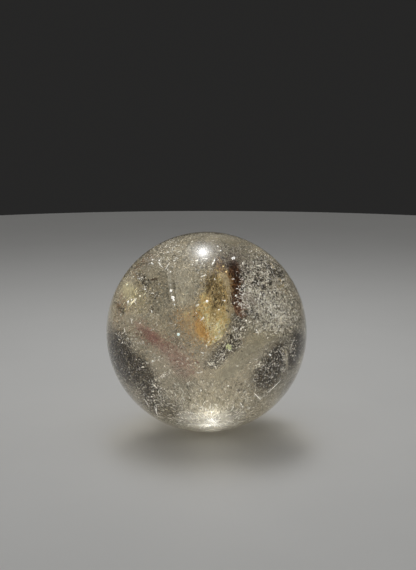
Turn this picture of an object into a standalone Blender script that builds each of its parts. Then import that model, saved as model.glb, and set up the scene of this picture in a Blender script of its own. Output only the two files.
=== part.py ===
"""Garden quartz sphere: one polished ball of included quartz on a small ground flat.

The stone is a single crystal. Its veils, flecks and coloured clouds grew inside it, are thinner
than any solid, and are no pieces of their own, so the model is one closed solid. The origin is the
middle of the flat that it stands on, with +Z up.
"""

import math

import bmesh
import bpy

# Driving dimensions, in metres
BALL_DIAMETER = 0.060
FLAT_DIAMETER = 0.011

# How finely the round surface is divided
MERIDIANS = 80
RINGS = 40
WELD_DISTANCE = 1e-6

# Sizes that follow from the two diameters
BALL_RADIUS = BALL_DIAMETER / 2
FLAT_RADIUS = FLAT_DIAMETER / 2
CENTRE_HEIGHT = math.sqrt(BALL_RADIUS**2 - FLAT_RADIUS**2)

# The stone's colour, roughness and index of refraction
QUARTZ_COLOUR = (0.56, 0.53, 0.46, 1.0)
QUARTZ_ROUGHNESS = 0.05
QUARTZ_IOR = 1.544
QUARTZ_CLARITY = 0.55


def clear_scene():
    """Removes every object that the scene starts with."""
    for scene_object in list(bpy.data.objects):
        bpy.data.objects.remove(scene_object)


def quartz_material():
    """Returns the material of polished, hazy quartz."""
    material = bpy.data.materials.new("quartz")
    material.use_nodes = True
    shader = material.node_tree.nodes["Principled BSDF"]
    shader.inputs["Base Color"].default_value = QUARTZ_COLOUR
    shader.inputs["Roughness"].default_value = QUARTZ_ROUGHNESS
    shader.inputs["Metallic"].default_value = 0.0
    shader.inputs["IOR"].default_value = QUARTZ_IOR
    shader.inputs["Transmission Weight"].default_value = QUARTZ_CLARITY
    return material


def half_outline():
    """Returns the stone's half outline in the XZ plane, from the middle of the flat to the top.

    The round stretch is an arc about the ball's middle. It starts where the flat cuts the ball and
    ends on the axis, in equal steps of angle.
    """
    lowest = math.asin(FLAT_RADIUS / BALL_RADIUS)
    outline = [(0.0, 0.0, 0.0)]
    for step in range(RINGS + 1):
        angle = lowest + (math.pi - lowest) * step / RINGS
        across = BALL_RADIUS * math.sin(angle)
        height = CENTRE_HEIGHT - BALL_RADIUS * math.cos(angle)
        outline.append((across, 0.0, height))
    outline[-1] = (0.0, 0.0, CENTRE_HEIGHT + BALL_RADIUS)
    return outline


def turned_solid(outline):
    """Returns a mesh of the half outline spun once about the Z axis, closed and facing out."""
    form = bmesh.new()
    corners = [form.verts.new(point) for point in outline]
    edges = [form.edges.new(pair) for pair in zip(corners, corners[1:])]
    bmesh.ops.spin(
        form,
        geom=corners + edges,
        cent=(0.0, 0.0, 0.0),
        axis=(0.0, 0.0, 1.0),
        angle=math.tau,
        steps=MERIDIANS,
        use_merge=True,
    )
    bmesh.ops.remove_doubles(form, verts=form.verts, dist=WELD_DISTANCE)
    bmesh.ops.recalc_face_normals(form, faces=form.faces)
    mesh = bpy.data.meshes.new("quartz_sphere")
    form.to_mesh(mesh)
    form.free()
    return mesh


def quartz_sphere():
    """Makes the stone, shaded smooth over the ball and sharp at the rim of its flat."""
    mesh = turned_solid(half_outline())
    mesh.shade_smooth()
    mesh.set_sharp_from_angle(angle=math.radians(8))
    mesh.materials.append(quartz_material())
    stone = bpy.data.objects.new("quartz_sphere", mesh)
    bpy.context.scene.collection.objects.link(stone)
    return stone


clear_scene()
quartz_sphere()
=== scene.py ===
"""Dresses the garden quartz sphere: its polished ball and everything that grew inside the crystal.

The ball is clear quartz that bends light. Inside it float fine dust, milky veils, a golden plume
with a dark fin, a silvery zone of crumpled flakes, coloured clouds and bright specks. Each of them
is placed where the camera sees it through the bent light, at a real depth in the stone.
"""

import logging
import math
from dataclasses import dataclass, field, replace
from enum import Enum
from typing import Any

import bpy
import numpy as np
from mathutils import Matrix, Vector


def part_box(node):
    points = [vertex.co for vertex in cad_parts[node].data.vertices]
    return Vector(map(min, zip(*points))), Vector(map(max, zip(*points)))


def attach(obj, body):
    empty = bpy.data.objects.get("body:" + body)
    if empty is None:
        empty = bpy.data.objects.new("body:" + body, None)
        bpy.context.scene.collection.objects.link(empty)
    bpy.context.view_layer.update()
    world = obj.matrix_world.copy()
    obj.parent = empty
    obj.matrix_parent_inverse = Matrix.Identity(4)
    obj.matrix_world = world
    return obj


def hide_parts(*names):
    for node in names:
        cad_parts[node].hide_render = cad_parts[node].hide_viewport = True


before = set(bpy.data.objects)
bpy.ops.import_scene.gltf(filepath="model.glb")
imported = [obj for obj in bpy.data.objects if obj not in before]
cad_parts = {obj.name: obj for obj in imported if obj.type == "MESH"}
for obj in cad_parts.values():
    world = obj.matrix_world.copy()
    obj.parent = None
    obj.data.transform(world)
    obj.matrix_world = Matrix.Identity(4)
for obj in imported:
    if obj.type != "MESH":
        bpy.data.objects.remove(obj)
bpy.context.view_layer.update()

Colour = tuple[float, float, float]
Pixel = tuple[float, float]

MM = 0.001
QUARTZ_IOR = 1.544
BODY, STONE, SLOT = "root", "quartz_sphere", "quartz"

# The photograph's size, and where it shows the ball's middle, the key lamp's highlight, the glint in
# that, and the core of the glow near the flat.
PHOTO_WIDTH, PHOTO_HEIGHT = 416, 570
MIDDLE_PIXEL: Pixel = (206.5, 331.9)
KEY_PIXEL: Pixel = (203.3, 252.3)
GLINT_PIXEL: Pixel = (202.9, 253.8)
GLOW_PIXEL: Pixel = (211.5, 421.5)

# The share of a way through the ball, or of its radius, that is left free under the surface; the
# farthest from the middle that a ray is taken to pass, in radiuses; how often a search for an angle
# halves its range; and the least number that anything is divided by.
SKIN = 0.04
GRAZING = 0.999
HALVINGS = 22
TINY = 1e-9

# How far a mottled field's lattice reaches, in metres, and the sines that make a zone's edge ragged:
# how fast each one runs, how much it is bent, and how fast the sine runs that bends it.
LATTICE_SPAN = 0.08
RIPPLES = ((0.9, 1.7, 0.5), (0.8, 1.9, 0.6))


def unit(vectors: np.ndarray) -> np.ndarray:
    """Returns the vectors, one a row, each divided by its length."""
    return vectors / np.linalg.norm(vectors, axis=-1, keepdims=True)


def smooth(value: np.ndarray, start: float, end: float) -> np.ndarray:
    """Eases from 0 at start to 1 at end, by three squares less two cubes.

    Args:
        value: What is eased.
        start: Where the result is 0. It may be above end.
        end: Where the result is 1.

    Returns:
        An array of the same shape, between 0 and 1.
    """
    share = np.clip((value - start) / (end - start), 0.0, 1.0)
    return share * share * (3.0 - 2.0 * share)


def bend(rays: np.ndarray, outward: np.ndarray) -> np.ndarray:
    """Bends rays that enter the stone, by Snell's law.

    Args:
        rays: Their unit directions, one a row.
        outward: The surface's unit normals where they enter, one a row.

    Returns:
        Their unit directions inside.
    """
    facing = -np.sum(outward * rays, axis=1, keepdims=True)
    sideways = (1.0 - facing**2) / QUARTZ_IOR**2
    return rays / QUARTZ_IOR + (facing / QUARTZ_IOR - np.sqrt(1.0 - sideways)) * outward


def strewn(rng: np.random.Generator, count: int, reach: float) -> np.ndarray:
    """Draws places at random in a ball, as many in each part of it.

    Args:
        rng: The source of the draws.
        count: How many places.
        reach: The ball's radius.

    Returns:
        The places, one a row, relative to its middle.
    """
    return unit(rng.normal(size=(count, 3))) * (reach * rng.random(count) ** (1 / 3))[:, None]


class Socket:
    """A value in a shader, which Python's operators work on by adding Math nodes."""

    def __init__(self, tree: "ShaderTree", socket: Any) -> None:
        """Keeps the tree and the socket or number."""
        self.tree = tree
        self.socket = socket

    def _math(self, operation: str, first: Any, second: Any) -> "Socket":
        """Adds one Math node and returns its result."""
        return self.tree.node("ShaderNodeMath", {"operation": operation}, {0: first, 1: second})

    def __add__(self, other: Any) -> "Socket":
        """Returns the sum."""
        return self._math("ADD", self, other)

    def __radd__(self, other: Any) -> "Socket":
        """Returns the sum with a number on the left."""
        return self._math("ADD", other, self)

    def __sub__(self, other: Any) -> "Socket":
        """Returns the difference."""
        return self._math("SUBTRACT", self, other)

    def __mul__(self, other: Any) -> "Socket":
        """Returns the product."""
        return self._math("MULTIPLY", self, other)

    def __rmul__(self, other: Any) -> "Socket":
        """Returns the product with a number on the left."""
        return self._math("MULTIPLY", other, self)

    def __abs__(self) -> "Socket":
        """Returns the value without its sign."""
        return self.tree.node("ShaderNodeMath", {"operation": "ABSOLUTE"}, {0: self})


class ShaderTree:
    """The node tree of a new material or world, with one method that adds any node."""

    def __init__(self, owner: Any, shader: str) -> None:
        """Opens the owner's tree and finds the shader that it starts with."""
        owner.use_nodes = True
        self.owner = owner
        self.nodes = owner.node_tree.nodes
        self.shader = self.nodes[shader]

    @classmethod
    def of_material(cls, name: str) -> "ShaderTree":
        """Returns the tree of a new material with a Principled shader."""
        return cls(bpy.data.materials.new(name), "Principled BSDF")

    def node(self, kind: str, settings: dict[str, Any], inputs: dict[Any, Any], out: Any = 0) -> Socket:
        """Adds a node, sets it up, and fills its sockets.

        Args:
            kind: The node's type.
            settings: Its own settings.
            inputs: Values or links, by the socket's name or number.
            out: The name or number of the output that is returned.

        Returns:
            That output.
        """
        made = self.nodes.new(kind)
        for setting, value in settings.items():
            setattr(made, setting, value)
        for name, value in inputs.items():
            self.put(made.inputs[name], value)
        return Socket(self, made.outputs[out])

    def put(self, socket: Any, value: Any) -> None:
        """Links a value to a socket, or sets the socket to it."""
        if isinstance(value, Socket):
            self.owner.node_tree.links.new(value.socket, socket)
        else:
            socket.default_value = value

    def fill(self, **values: Any) -> None:
        """Fills the shader's sockets, with _ for each space in a socket's name."""
        for name, value in values.items():
            self.put(self.shader.inputs[name.replace("_", " ")], value)

    def output(self, socket: str, value: Socket) -> None:
        """Links a value to a socket of the material's output."""
        self.put(self.nodes["Material Output"].inputs[socket], value)

    def noise(self, size_mm: float, detail: float = 3.0, stretch: Colour = (1.0, 1.0, 1.0)) -> Socket:
        """Returns a soft random pattern between 0 and 1.

        Args:
            size_mm: How wide its blotches are.
            detail: How many finer layers lie on it.
            stretch: How much the pattern is drawn out along X, Y and Z.

        Returns:
            The pattern's value.
        """
        scale = tuple(1.0 / (size_mm * MM * part) for part in stretch)
        place = self.node("ShaderNodeTexCoord", {}, {}, "Object")
        place = self.node("ShaderNodeMapping", {}, {"Vector": place, "Scale": scale})
        return self.node("ShaderNodeTexNoise", {}, {"Vector": place, "Scale": 1.0, "Detail": detail})

    def ease(self, value: Socket, start: float, end: float) -> Socket:
        """Returns 0 where the value is at start, 1 where it is at end, and a smooth rise in between."""
        sockets = {"Value": value, "From Min": start, "From Max": end}
        return self.node("ShaderNodeMapRange", {"interpolation_type": "SMOOTHSTEP"}, sockets)

    def mix(self, factor: Any, first: Any, second: Any) -> Socket:
        """Returns the blend of two colours."""
        sockets = {0: factor, 6: first, 7: second}
        return self.node("ShaderNodeMix", {"data_type": "RGBA"}, sockets, 2)


@dataclass(frozen=True)
class Sightline:
    """The photograph's view of the ball, with the bend of light at its polished surface."""

    middle: np.ndarray
    radius: float
    elevation: float = math.radians(13.5)
    lens_mm: float = 85.0
    sensor_mm: float = 36.0
    middle_pixel: Pixel = MIDDLE_PIXEL
    outline_pixels: float = 100.2
    turn: float = 0.0

    @property
    def reach(self) -> float:
        """Returns how far from the ball's middle anything may lie in it."""
        return (1.0 - SKIN) * self.radius

    @property
    def focal(self) -> float:
        """Returns the lens's length in pixels."""
        return self.lens_mm / self.sensor_mm * PHOTO_HEIGHT

    @property
    def distance(self) -> float:
        """Returns how far the camera is from the ball's middle."""
        return self.radius / math.sin(math.atan(self.outline_pixels / self.focal))

    @property
    def ahead(self) -> np.ndarray:
        """Returns the direction from the camera to the ball's middle."""
        level = math.cos(self.elevation)
        down = math.sin(self.elevation)
        return np.array([-math.sin(self.turn) * level, math.cos(self.turn) * level, -down])

    @property
    def eye(self) -> np.ndarray:
        """Returns the camera's place."""
        return self.middle - self.distance * self.ahead

    @property
    def pitch(self) -> float:
        """Returns how far the camera looks down."""
        return self.elevation - math.atan((self.middle_pixel[1] - PHOTO_HEIGHT / 2) / self.focal)

    @property
    def yaw(self) -> float:
        """Returns how far the camera turns to its right."""
        return math.atan((PHOTO_WIDTH / 2 - self.middle_pixel[0]) / self.focal)

    def axes(self) -> tuple[np.ndarray, np.ndarray, np.ndarray]:
        """Returns the camera's right, up and forward directions."""
        heading = self.yaw - self.turn
        right = np.array([math.cos(heading), -math.sin(heading), 0.0])
        level = np.array([math.sin(heading), math.cos(heading), 0.0])
        forward = math.cos(self.pitch) * level - math.sin(self.pitch) * np.array([0.0, 0.0, 1.0])
        return right, np.cross(right, forward), forward

    def rays(self, pixels: np.ndarray) -> np.ndarray:
        """Returns the unit directions of the rays through some pixels."""
        right, up, forward = self.axes()
        across = (pixels[:, :1] - PHOTO_WIDTH / 2) * right
        down = (pixels[:, 1:] - PHOTO_HEIGHT / 2) * up
        return unit(self.focal * forward + across - down)

    def inside(self, pixels: np.ndarray, depth_mm: np.ndarray) -> np.ndarray:
        """Finds the places in the stone that show at some pixels, at given depths.

        A ray meets the ball where its distance from the middle is the radius, and bends there by
        Snell's law. It then runs straight to the depth, which is counted from the ball's middle,
        away from the camera, and stops short of both sides of the ball.

        Args:
            pixels: Columns and rows in the photograph, one pair a row.
            depth_mm: One depth a pixel.

        Returns:
            The places, one a row, relative to the ball's middle.
        """
        rays = self.rays(pixels)
        start = self.eye - self.middle
        along = -(rays @ start)
        miss = np.maximum(start @ start - along**2, 0.0)
        miss = np.minimum(miss, (GRAZING * self.radius) ** 2)
        entry = start + (along - np.sqrt(self.radius**2 - miss))[:, None] * rays
        bent = bend(rays, unit(entry))
        run = (depth_mm * MM - entry @ self.ahead) / (bent @ self.ahead)
        chord = -2.0 * np.sum(entry * bent, axis=1)
        run = np.clip(run, SKIN * chord, (1.0 - SKIN) * chord)
        return entry + run[:, None] * bent

    def shown_at(self, places: np.ndarray) -> np.ndarray:
        """Finds the pixels at which places in the stone show, the reverse of inside.

        The ray to a place stays in the plane of the camera, the ball's middle and the place, so
        halving the range of the angle at which it enters the ball finds it.

        Args:
            places: One a row, relative to the ball's middle.

        Returns:
            Columns and rows in the photograph, one pair a row.
        """
        toward = -self.ahead
        reach = places @ toward
        aside = places - reach[:, None] * toward
        offset = np.linalg.norm(aside, axis=1)
        aside = aside / np.maximum(offset, TINY)[:, None]
        low = np.zeros(len(places))
        high = np.full(len(places), math.acos(self.radius / self.distance))
        for _ in range(HALVINGS):
            angle = (low + high) / 2
            out = np.stack([np.cos(angle), np.sin(angle)], axis=1)
            entry = self.radius * out
            bent = bend(unit(entry - np.array([self.distance, 0.0])), out)
            gap = np.stack([reach, offset], axis=1) - entry
            beyond = bent[:, 0] * gap[:, 1] - bent[:, 1] * gap[:, 0] < 0.0
            low = np.where(beyond, angle, low)
            high = np.where(beyond, high, angle)
        entry = self.radius * (np.cos(low)[:, None] * toward + np.sin(low)[:, None] * aside)
        right, up, forward = self.axes()
        seen = entry + self.middle - self.eye
        scale = self.focal / (seen @ forward)
        column = PHOTO_WIDTH / 2 + scale * (seen @ right)
        row = PHOTO_HEIGHT / 2 - scale * (seen @ up)
        return np.stack([column, row], axis=1)

    def mirrored(self, pixel: Pixel) -> np.ndarray:
        """Finds where a lamp has to be for the ball to mirror it at a pixel.

        Args:
            pixel: A column and a row in the photograph.

        Returns:
            The lamp's direction from the ball, as a unit vector.
        """
        ray = self.rays(np.array([pixel]))[0]
        start = self.eye - self.middle
        along = -(ray @ start)
        outward = start + (along - math.sqrt(self.radius**2 - start @ start + along**2)) * ray
        outward = outward / self.radius
        return ray - 2.0 * (ray @ outward) * outward

    def camera(self) -> None:
        """Makes the camera and gives it to the scene."""
        data = bpy.data.cameras.new("camera")
        data.lens = self.lens_mm
        data.sensor_width = self.sensor_mm
        data.clip_start = 0.01
        made = bpy.data.objects.new("camera", data)
        made.location = self.eye
        made.rotation_euler = (math.pi / 2 - self.pitch, 0.0, -self.yaw)
        bpy.context.scene.collection.objects.link(made)
        bpy.context.scene.camera = made


class Mottle:
    """A smooth random field in the stone.

    Random numbers stand on a cubic lattice. Between them the field is their blend by the eased
    share of the way across the cell. Each finer layer has half the cell and half the weight.
    """

    def __init__(self, seed: int, cell_mm: float, layers: int = 3, stretch: Colour = (1.0, 1.0, 1.0)) -> None:
        """Draws the lattices.

        Args:
            seed: What the draws start from.
            cell_mm: The widest layer's cell.
            layers: How many layers there are.
            stretch: How much the field is drawn out along X, Y and Z.
        """
        rng = np.random.default_rng(seed)
        self.stretch = np.array(stretch)
        self.cells = [cell_mm * MM / 2**layer for layer in range(layers)]
        self.lattices = [rng.random((int(LATTICE_SPAN / cell) + 3,) * 3) for cell in self.cells]

    def at(self, places: np.ndarray) -> np.ndarray:
        """Finds the field's value.

        Args:
            places: One a row, relative to the ball's middle.

        Returns:
            A value between 0 and 1 for each.
        """
        total = np.zeros(len(places))
        weight = 0.0
        for layer, (cell, lattice) in enumerate(zip(self.cells, self.lattices)):
            where = (places / self.stretch + LATTICE_SPAN / 2) / cell
            corner = np.clip(np.floor(where).astype(int), 0, lattice.shape[0] - 2)
            share = smooth(where - corner, 0.0, 1.0)
            value = np.zeros(len(places))
            for step in np.ndindex(2, 2, 2):
                part = np.prod(np.where(step, share, 1.0 - share), axis=1)
                value += part * lattice[tuple((corner + step).T)]
            total += value / 2**layer
            weight += 1 / 2**layer
        return total / weight


@dataclass(frozen=True)
class Region:
    """A zone of the stone as the camera sees it: a line of pixels, how wide it is, and its depths."""

    spine: tuple[Pixel, ...]
    reach: float
    near_mm: float = -30.0
    far_mm: float = 30.0
    edge: float = 0.5
    ragged: float = 0.12
    soften_mm: float = 2.0

    def away(self, pixels: np.ndarray) -> np.ndarray:
        """Measures how far pixels are from the line, with ripples that make the zone's edge ragged.

        The ripples are two sines, one of the column and one of the row, each bent by a sine of the
        other.

        Args:
            pixels: Columns and rows in the photograph, one pair a row.

        Returns:
            A distance in pixels for each.
        """
        best = np.full(len(pixels), np.inf)
        line = [np.array(point) for point in self.spine]
        for start, end in zip(line, line[1:] or line):
            way = end - start
            share = np.clip((pixels - start) @ way / max(way @ way, TINY), 0.0, 1.0)
            nearest = start + share[:, None] * way
            best = np.minimum(best, np.linalg.norm(pixels - nearest, axis=1))
        ripple = np.zeros(len(pixels))
        for (pace, swing, slow), own, other in zip(RIPPLES, pixels.T, pixels.T[::-1]):
            ripple += np.sin(pace * own + swing * np.sin(slow * other))
        return best + self.ragged * self.reach * ripple

    def share(self, pixels: np.ndarray, depth_mm: np.ndarray) -> np.ndarray:
        """Returns 1 well inside the zone, 0 outside it, and a smooth fall over its edge.

        Args:
            pixels: Columns and rows in the photograph, one pair a row.
            depth_mm: One depth a pixel, from the ball's middle.

        Returns:
            The share of the zone at each of them.
        """
        across = smooth(self.away(pixels), self.reach * (1 + self.edge), self.reach * (1 - self.edge))
        front = smooth(depth_mm, self.near_mm - self.soften_mm, self.near_mm + self.soften_mm)
        back = smooth(depth_mm, self.far_mm + self.soften_mm, self.far_mm - self.soften_mm)
        return across * front * back


def new_piece(name: str, places: np.ndarray, faces: np.ndarray, material: Any) -> bpy.types.Object:
    """Makes a mesh object of faces that all have as many corners.

    Args:
        name: The piece's name.
        places: The vertices in metres, one a row.
        faces: The vertices' numbers, one face a row.
        material: Its finish.

    Returns:
        The object, which rides on the stone's body.
    """
    count, corners = faces.shape
    mesh = bpy.data.meshes.new(name)
    mesh.vertices.add(len(places))
    mesh.vertices.foreach_set("co", places.astype(np.float32).ravel())
    mesh.loops.add(count * corners)
    mesh.loops.foreach_set("vertex_index", faces.astype(np.int32).ravel())
    mesh.polygons.add(count)
    mesh.polygons.foreach_set("loop_start", np.arange(count, dtype=np.int32) * corners)
    mesh.update(calc_edges=True)
    mesh.validate()
    mesh.materials.append(material)
    made = bpy.data.objects.new(name, mesh)
    bpy.context.scene.collection.objects.link(made)
    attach(made, BODY)
    return made


@dataclass(frozen=True)
class Grains:
    """A mix of grain colours, each with its share of the grains."""

    colours: tuple[Colour, ...]
    shares: tuple[float, ...]

    def pick(self, rng: np.random.Generator, count: int) -> np.ndarray:
        """Draws a colour for each of some grains."""
        return np.array(self.colours)[rng.choice(len(self.colours), count, p=self.shares)]


Stains = tuple[tuple[Region, Grains, float], ...]


def stain(
    colours: np.ndarray, stains: Stains, pixels: np.ndarray, depth_mm: np.ndarray, rng: np.random.Generator
) -> np.ndarray:
    """Gives some grains the colours of the zones that they lie in.

    Args:
        colours: The grains' own colours, one a row.
        stains: For each zone its colours and the share of its grains that take them.
        pixels: Where the grains show.
        depth_mm: How deep they lie.
        rng: The source of the draws.

    Returns:
        The colours with the zones' in them.
    """
    for region, grains, strength in stains:
        stained = rng.random(len(pixels)) < strength * region.share(pixels, depth_mm)
        colours = np.where(stained[:, None], grains.pick(rng, len(pixels)), colours)
    return colours


class Mould(Enum):
    """The forms that a grain may have: its rings between its two tips, and the sides of a ring."""

    FLAKE = (0, 0)
    CURL = (3, 3)
    BEAD = (3, 6)

    def cast(self) -> tuple[np.ndarray, np.ndarray, np.ndarray]:
        """Works out one grain.

        A flake is a regular tetrahedron. Any other grain is a spindle with tips at -1/2 and 1/2 on
        X, and rings at -cos(a)/2 with a radius of sin(a)/2, where a goes evenly from 0 to a half turn.

        Returns:
            Its corners in a unit box, its triangles, and their corners in a unit square of the map.
        """
        if self is Mould.FLAKE:
            corner = np.array([[1, 1, 1], [-1, -1, 1], [-1, 1, -1], [1, -1, -1]]) / 2.0
            face = np.array([[0, 2, 1], [0, 1, 3], [0, 3, 2], [1, 2, 3]])
            rim = np.array([[0, 0], [1, 0], [1, 1], [0, 1]])
            return corner, face, np.stack([rim, np.roll(rim, -1, axis=0), np.full((4, 2), 0.5)], axis=1)
        rings, sides = self.value
        angle = (math.pi * np.arange(1, rings + 1) / (rings + 1))[:, None]
        turn = math.tau * np.arange(sides)[None, :] / sides
        ring = [-np.cos(angle) + 0.0 * turn, np.sin(angle) * np.cos(turn), np.sin(angle) * np.sin(turn)]
        corner = np.concatenate([np.stack(ring, axis=-1).reshape(-1, 3), [[-1, 0, 0], [1, 0, 0]]]) / 2.0
        count = rings * sides
        between = np.arange(count).reshape(rings, sides)
        rows = np.concatenate([[[count] * sides], between, [[count + 1] * sides]])
        here, beyond = rows[:-1], np.roll(rows[:-1], -1, axis=1)
        ahead, across = rows[1:], np.roll(rows[1:], -1, axis=1)
        one = np.stack([here, across, ahead], axis=-1)[:-1].reshape(-1, 3)
        two = np.stack([here, beyond, across], axis=-1)[1:].reshape(-1, 3)
        face = np.concatenate([one, two])
        side = math.ceil(math.sqrt(len(face) / 2))
        slot = np.arange(len(face)) // 2
        half = np.array([[[0.1, 0.05], [0.95, 0.05], [0.95, 0.9]], [[0.05, 0.1], [0.9, 0.95], [0.05, 0.95]]])
        cell = np.stack([slot % side, slot // side], axis=1)
        return corner, face, (cell[:, None, :] + half[np.arange(len(face)) % 2]) / side


@dataclass
class Grit:
    """Thousands of tiny closed grains of one mould, each sized and turned in its own way.

    uneven and bow are how much the corners of flakes and the bends of curls differ at random.
    bow_shift keeps a bent curl near its place, and map_margin is the edge of a grain's map square.
    """

    rng: np.random.Generator
    mould: Mould = Mould.FLAKE
    places: list[np.ndarray] = field(default_factory=list)
    shapes: list[np.ndarray] = field(default_factory=list)
    turns: list[np.ndarray] = field(default_factory=list)
    tints: list[np.ndarray] = field(default_factory=list)
    uneven: float = 0.12
    bow: float = 0.9
    bow_shift: float = 0.1
    map_margin: float = 0.08

    def add(
        self,
        places: np.ndarray,
        size_mm: float | np.ndarray,
        tint: np.ndarray,
        form: Colour | np.ndarray = (1.0, 1.0, 0.35),
        along: np.ndarray | None = None,
        facing: np.ndarray | None = None,
        vary: float = 0.3,
    ) -> None:
        """Adds grains at some places.

        Args:
            places: One a row, relative to the ball's middle.
            size_mm: Their middling size, one for all or one each.
            tint: One colour for all, or one a row.
            form: How long, wide and thick a grain is, in shares of its size, for all or one a row.
            along: The direction that each one's length takes, or None for any direction.
            facing: The direction that each one's flat side faces, or None for any direction.
            vary: How much the sizes differ, as the spread of their logarithm.
        """
        count = len(places)
        size = size_mm * MM * np.exp(self.rng.normal(0.0, vary, count))
        self.places.append(places)
        self.shapes.append(size[:, None] * np.array(form))
        self.tints.append(np.broadcast_to(np.asarray(tint, float), (count, 3)))
        first = unit(self.rng.normal(size=(count, 3)) if along is None else along)
        second = unit(np.cross(first, unit(self.rng.normal(size=(count, 3)))))
        third = np.cross(first, second)
        if facing is not None:
            third = unit(facing)
            first = unit(np.cross(third, second))
            second = np.cross(third, first)
        self.turns.append(np.stack([first, second, third], axis=1))

    def build(self, name: str, middle: np.ndarray, material: Any) -> bpy.types.Object:
        """Makes one piece of all the grains, with their colours in the attribute tint.

        A flake's corners are moved a little at random in the mould's unit box. Every grain is then
        stretched to its size and form, and a curl's corners move sideways by the square of their way
        along it. Then it is turned and moved to its place. Its faces share one small square of the
        map.

        Args:
            name: The piece's name.
            middle: The ball's middle.
            material: The grains' finish.

        Returns:
            The piece.
        """
        places, shapes = np.concatenate(self.places), np.concatenate(self.shapes)
        corner, face, net = self.mould.cast()
        count = len(places)
        if self.mould is Mould.FLAKE:
            corner = corner + self.rng.normal(0.0, self.uneven, (count, *corner.shape))
        local = corner * shapes[:, None, :]
        if self.mould is Mould.CURL:
            bow = self.rng.normal(0.0, self.bow, (count, 1)) * shapes[:, :1]
            local[..., 1] += bow * (corner[:, 0] ** 2 - self.bow_shift)
        points = local @ np.concatenate(self.turns) + places[:, None, :] + middle
        faces = face + corner.shape[-2] * np.arange(count)[:, None, None]
        made = new_piece(name, points.reshape(-1, 3), faces.reshape(-1, 3), material)
        colours = np.repeat(np.concatenate(self.tints), points.shape[1], axis=0)
        colours = np.concatenate([colours, np.ones((len(colours), 1))], axis=1)
        layer = made.data.color_attributes.new("tint", "FLOAT_COLOR", "POINT")
        layer.data.foreach_set("color", colours.astype(np.float32).ravel())
        side = math.ceil(math.sqrt(count))
        cell = np.stack([np.arange(count) % side, np.arange(count) // side], axis=1)
        share = 1.0 - 2.0 * self.map_margin
        spread = (cell[:, None, None, :] + self.map_margin + share * net[None]) / side
        made.data.uv_layers.new(name="OFBake").uv.foreach_set("vector", spread.astype(np.float32).ravel())
        return made


@dataclass(frozen=True)
class DustFinish:
    """The finish of flakes: their own tint, mottled, with a dull or a bright surface, and a glow that paints
    a glint.
    """

    roughness: float = 0.45
    spread: float = 0.35
    glow: float = 0.0
    gloss: float = 0.25
    mottle_mm: float = 1.4

    def material(self, name: str) -> Any:
        """Makes the material.

        A soft random pattern changes the tint by spread up and down, and the roughness from 0.7 of
        its value to 1.3.

        Args:
            name: The material's name.

        Returns:
            The material.
        """
        tree = ShaderTree.of_material(name)
        tint = tree.node("ShaderNodeAttribute", {"attribute_name": "tint"}, {}, "Color")
        mottle = tree.noise(self.mottle_mm, 2.0)
        shade = 1.0 - self.spread + 2.0 * self.spread * mottle
        colour = tree.node("ShaderNodeVectorMath", {"operation": "SCALE"}, {0: tint, "Scale": shade})
        tree.fill(Base_Color=colour, Specular_IOR_Level=self.gloss)
        tree.fill(Roughness=self.roughness * 0.7 + self.roughness * 0.6 * mottle)
        # Painted glint: where glow is set, the grains give out light of their own tint.
        if self.glow:
            tree.fill(Emission_Color=colour, Emission_Strength=self.glow)
        return tree.owner


@dataclass(frozen=True)
class QuartzFinish:
    """The finish of the polished surface: clear quartz with faint wheel marks."""

    roughness: float = 0.012
    tint: Colour = (1.0, 1.0, 1.0)
    absorbed: Colour = (0.90, 0.87, 0.80)
    density: float = 40.0
    bloom: float = 0.28
    gloss: float = 0.25
    bloom_roughness: float = 0.3
    marks_mm: float = 6.0

    def material(self, name: str) -> Any:
        """Makes the material.

        A tint that deepens with the way through it fills the solid. The surface takes from 0.6 of
        its roughness to 1.4, and lets the lamps' light reach what is inside without a shadow.

        Args:
            name: The material's name.

        Returns:
            The material.
        """
        tree = ShaderTree.of_material(name)
        marks = tree.noise(self.marks_mm, 4.0, (1.0, 1.0, 0.35))
        tree.fill(
            Base_Color=(*self.tint, 1.0),
            Transmission_Weight=1.0,
            IOR=QUARTZ_IOR,
            Roughness=self.roughness * 0.6 + self.roughness * 0.8 * marks,
            Specular_IOR_Level=self.gloss,
            Coat_Weight=self.bloom,
            Coat_Roughness=self.bloom_roughness,
        )
        tinted = {"Color": (*self.absorbed, 1.0), "Density": self.density}
        tree.output("Volume", tree.node("ShaderNodeVolumeAbsorption", {}, tinted))
        shadow = tree.node("ShaderNodeLightPath", {}, {}, "Is Shadow Ray")
        clear = tree.node("ShaderNodeBsdfTransparent", {}, {})
        surface = Socket(tree, tree.shader.outputs[0])
        tree.output("Surface", tree.node("ShaderNodeMixShader", {}, {0: shadow, 1: surface, 2: clear}))
        return tree.owner


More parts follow.
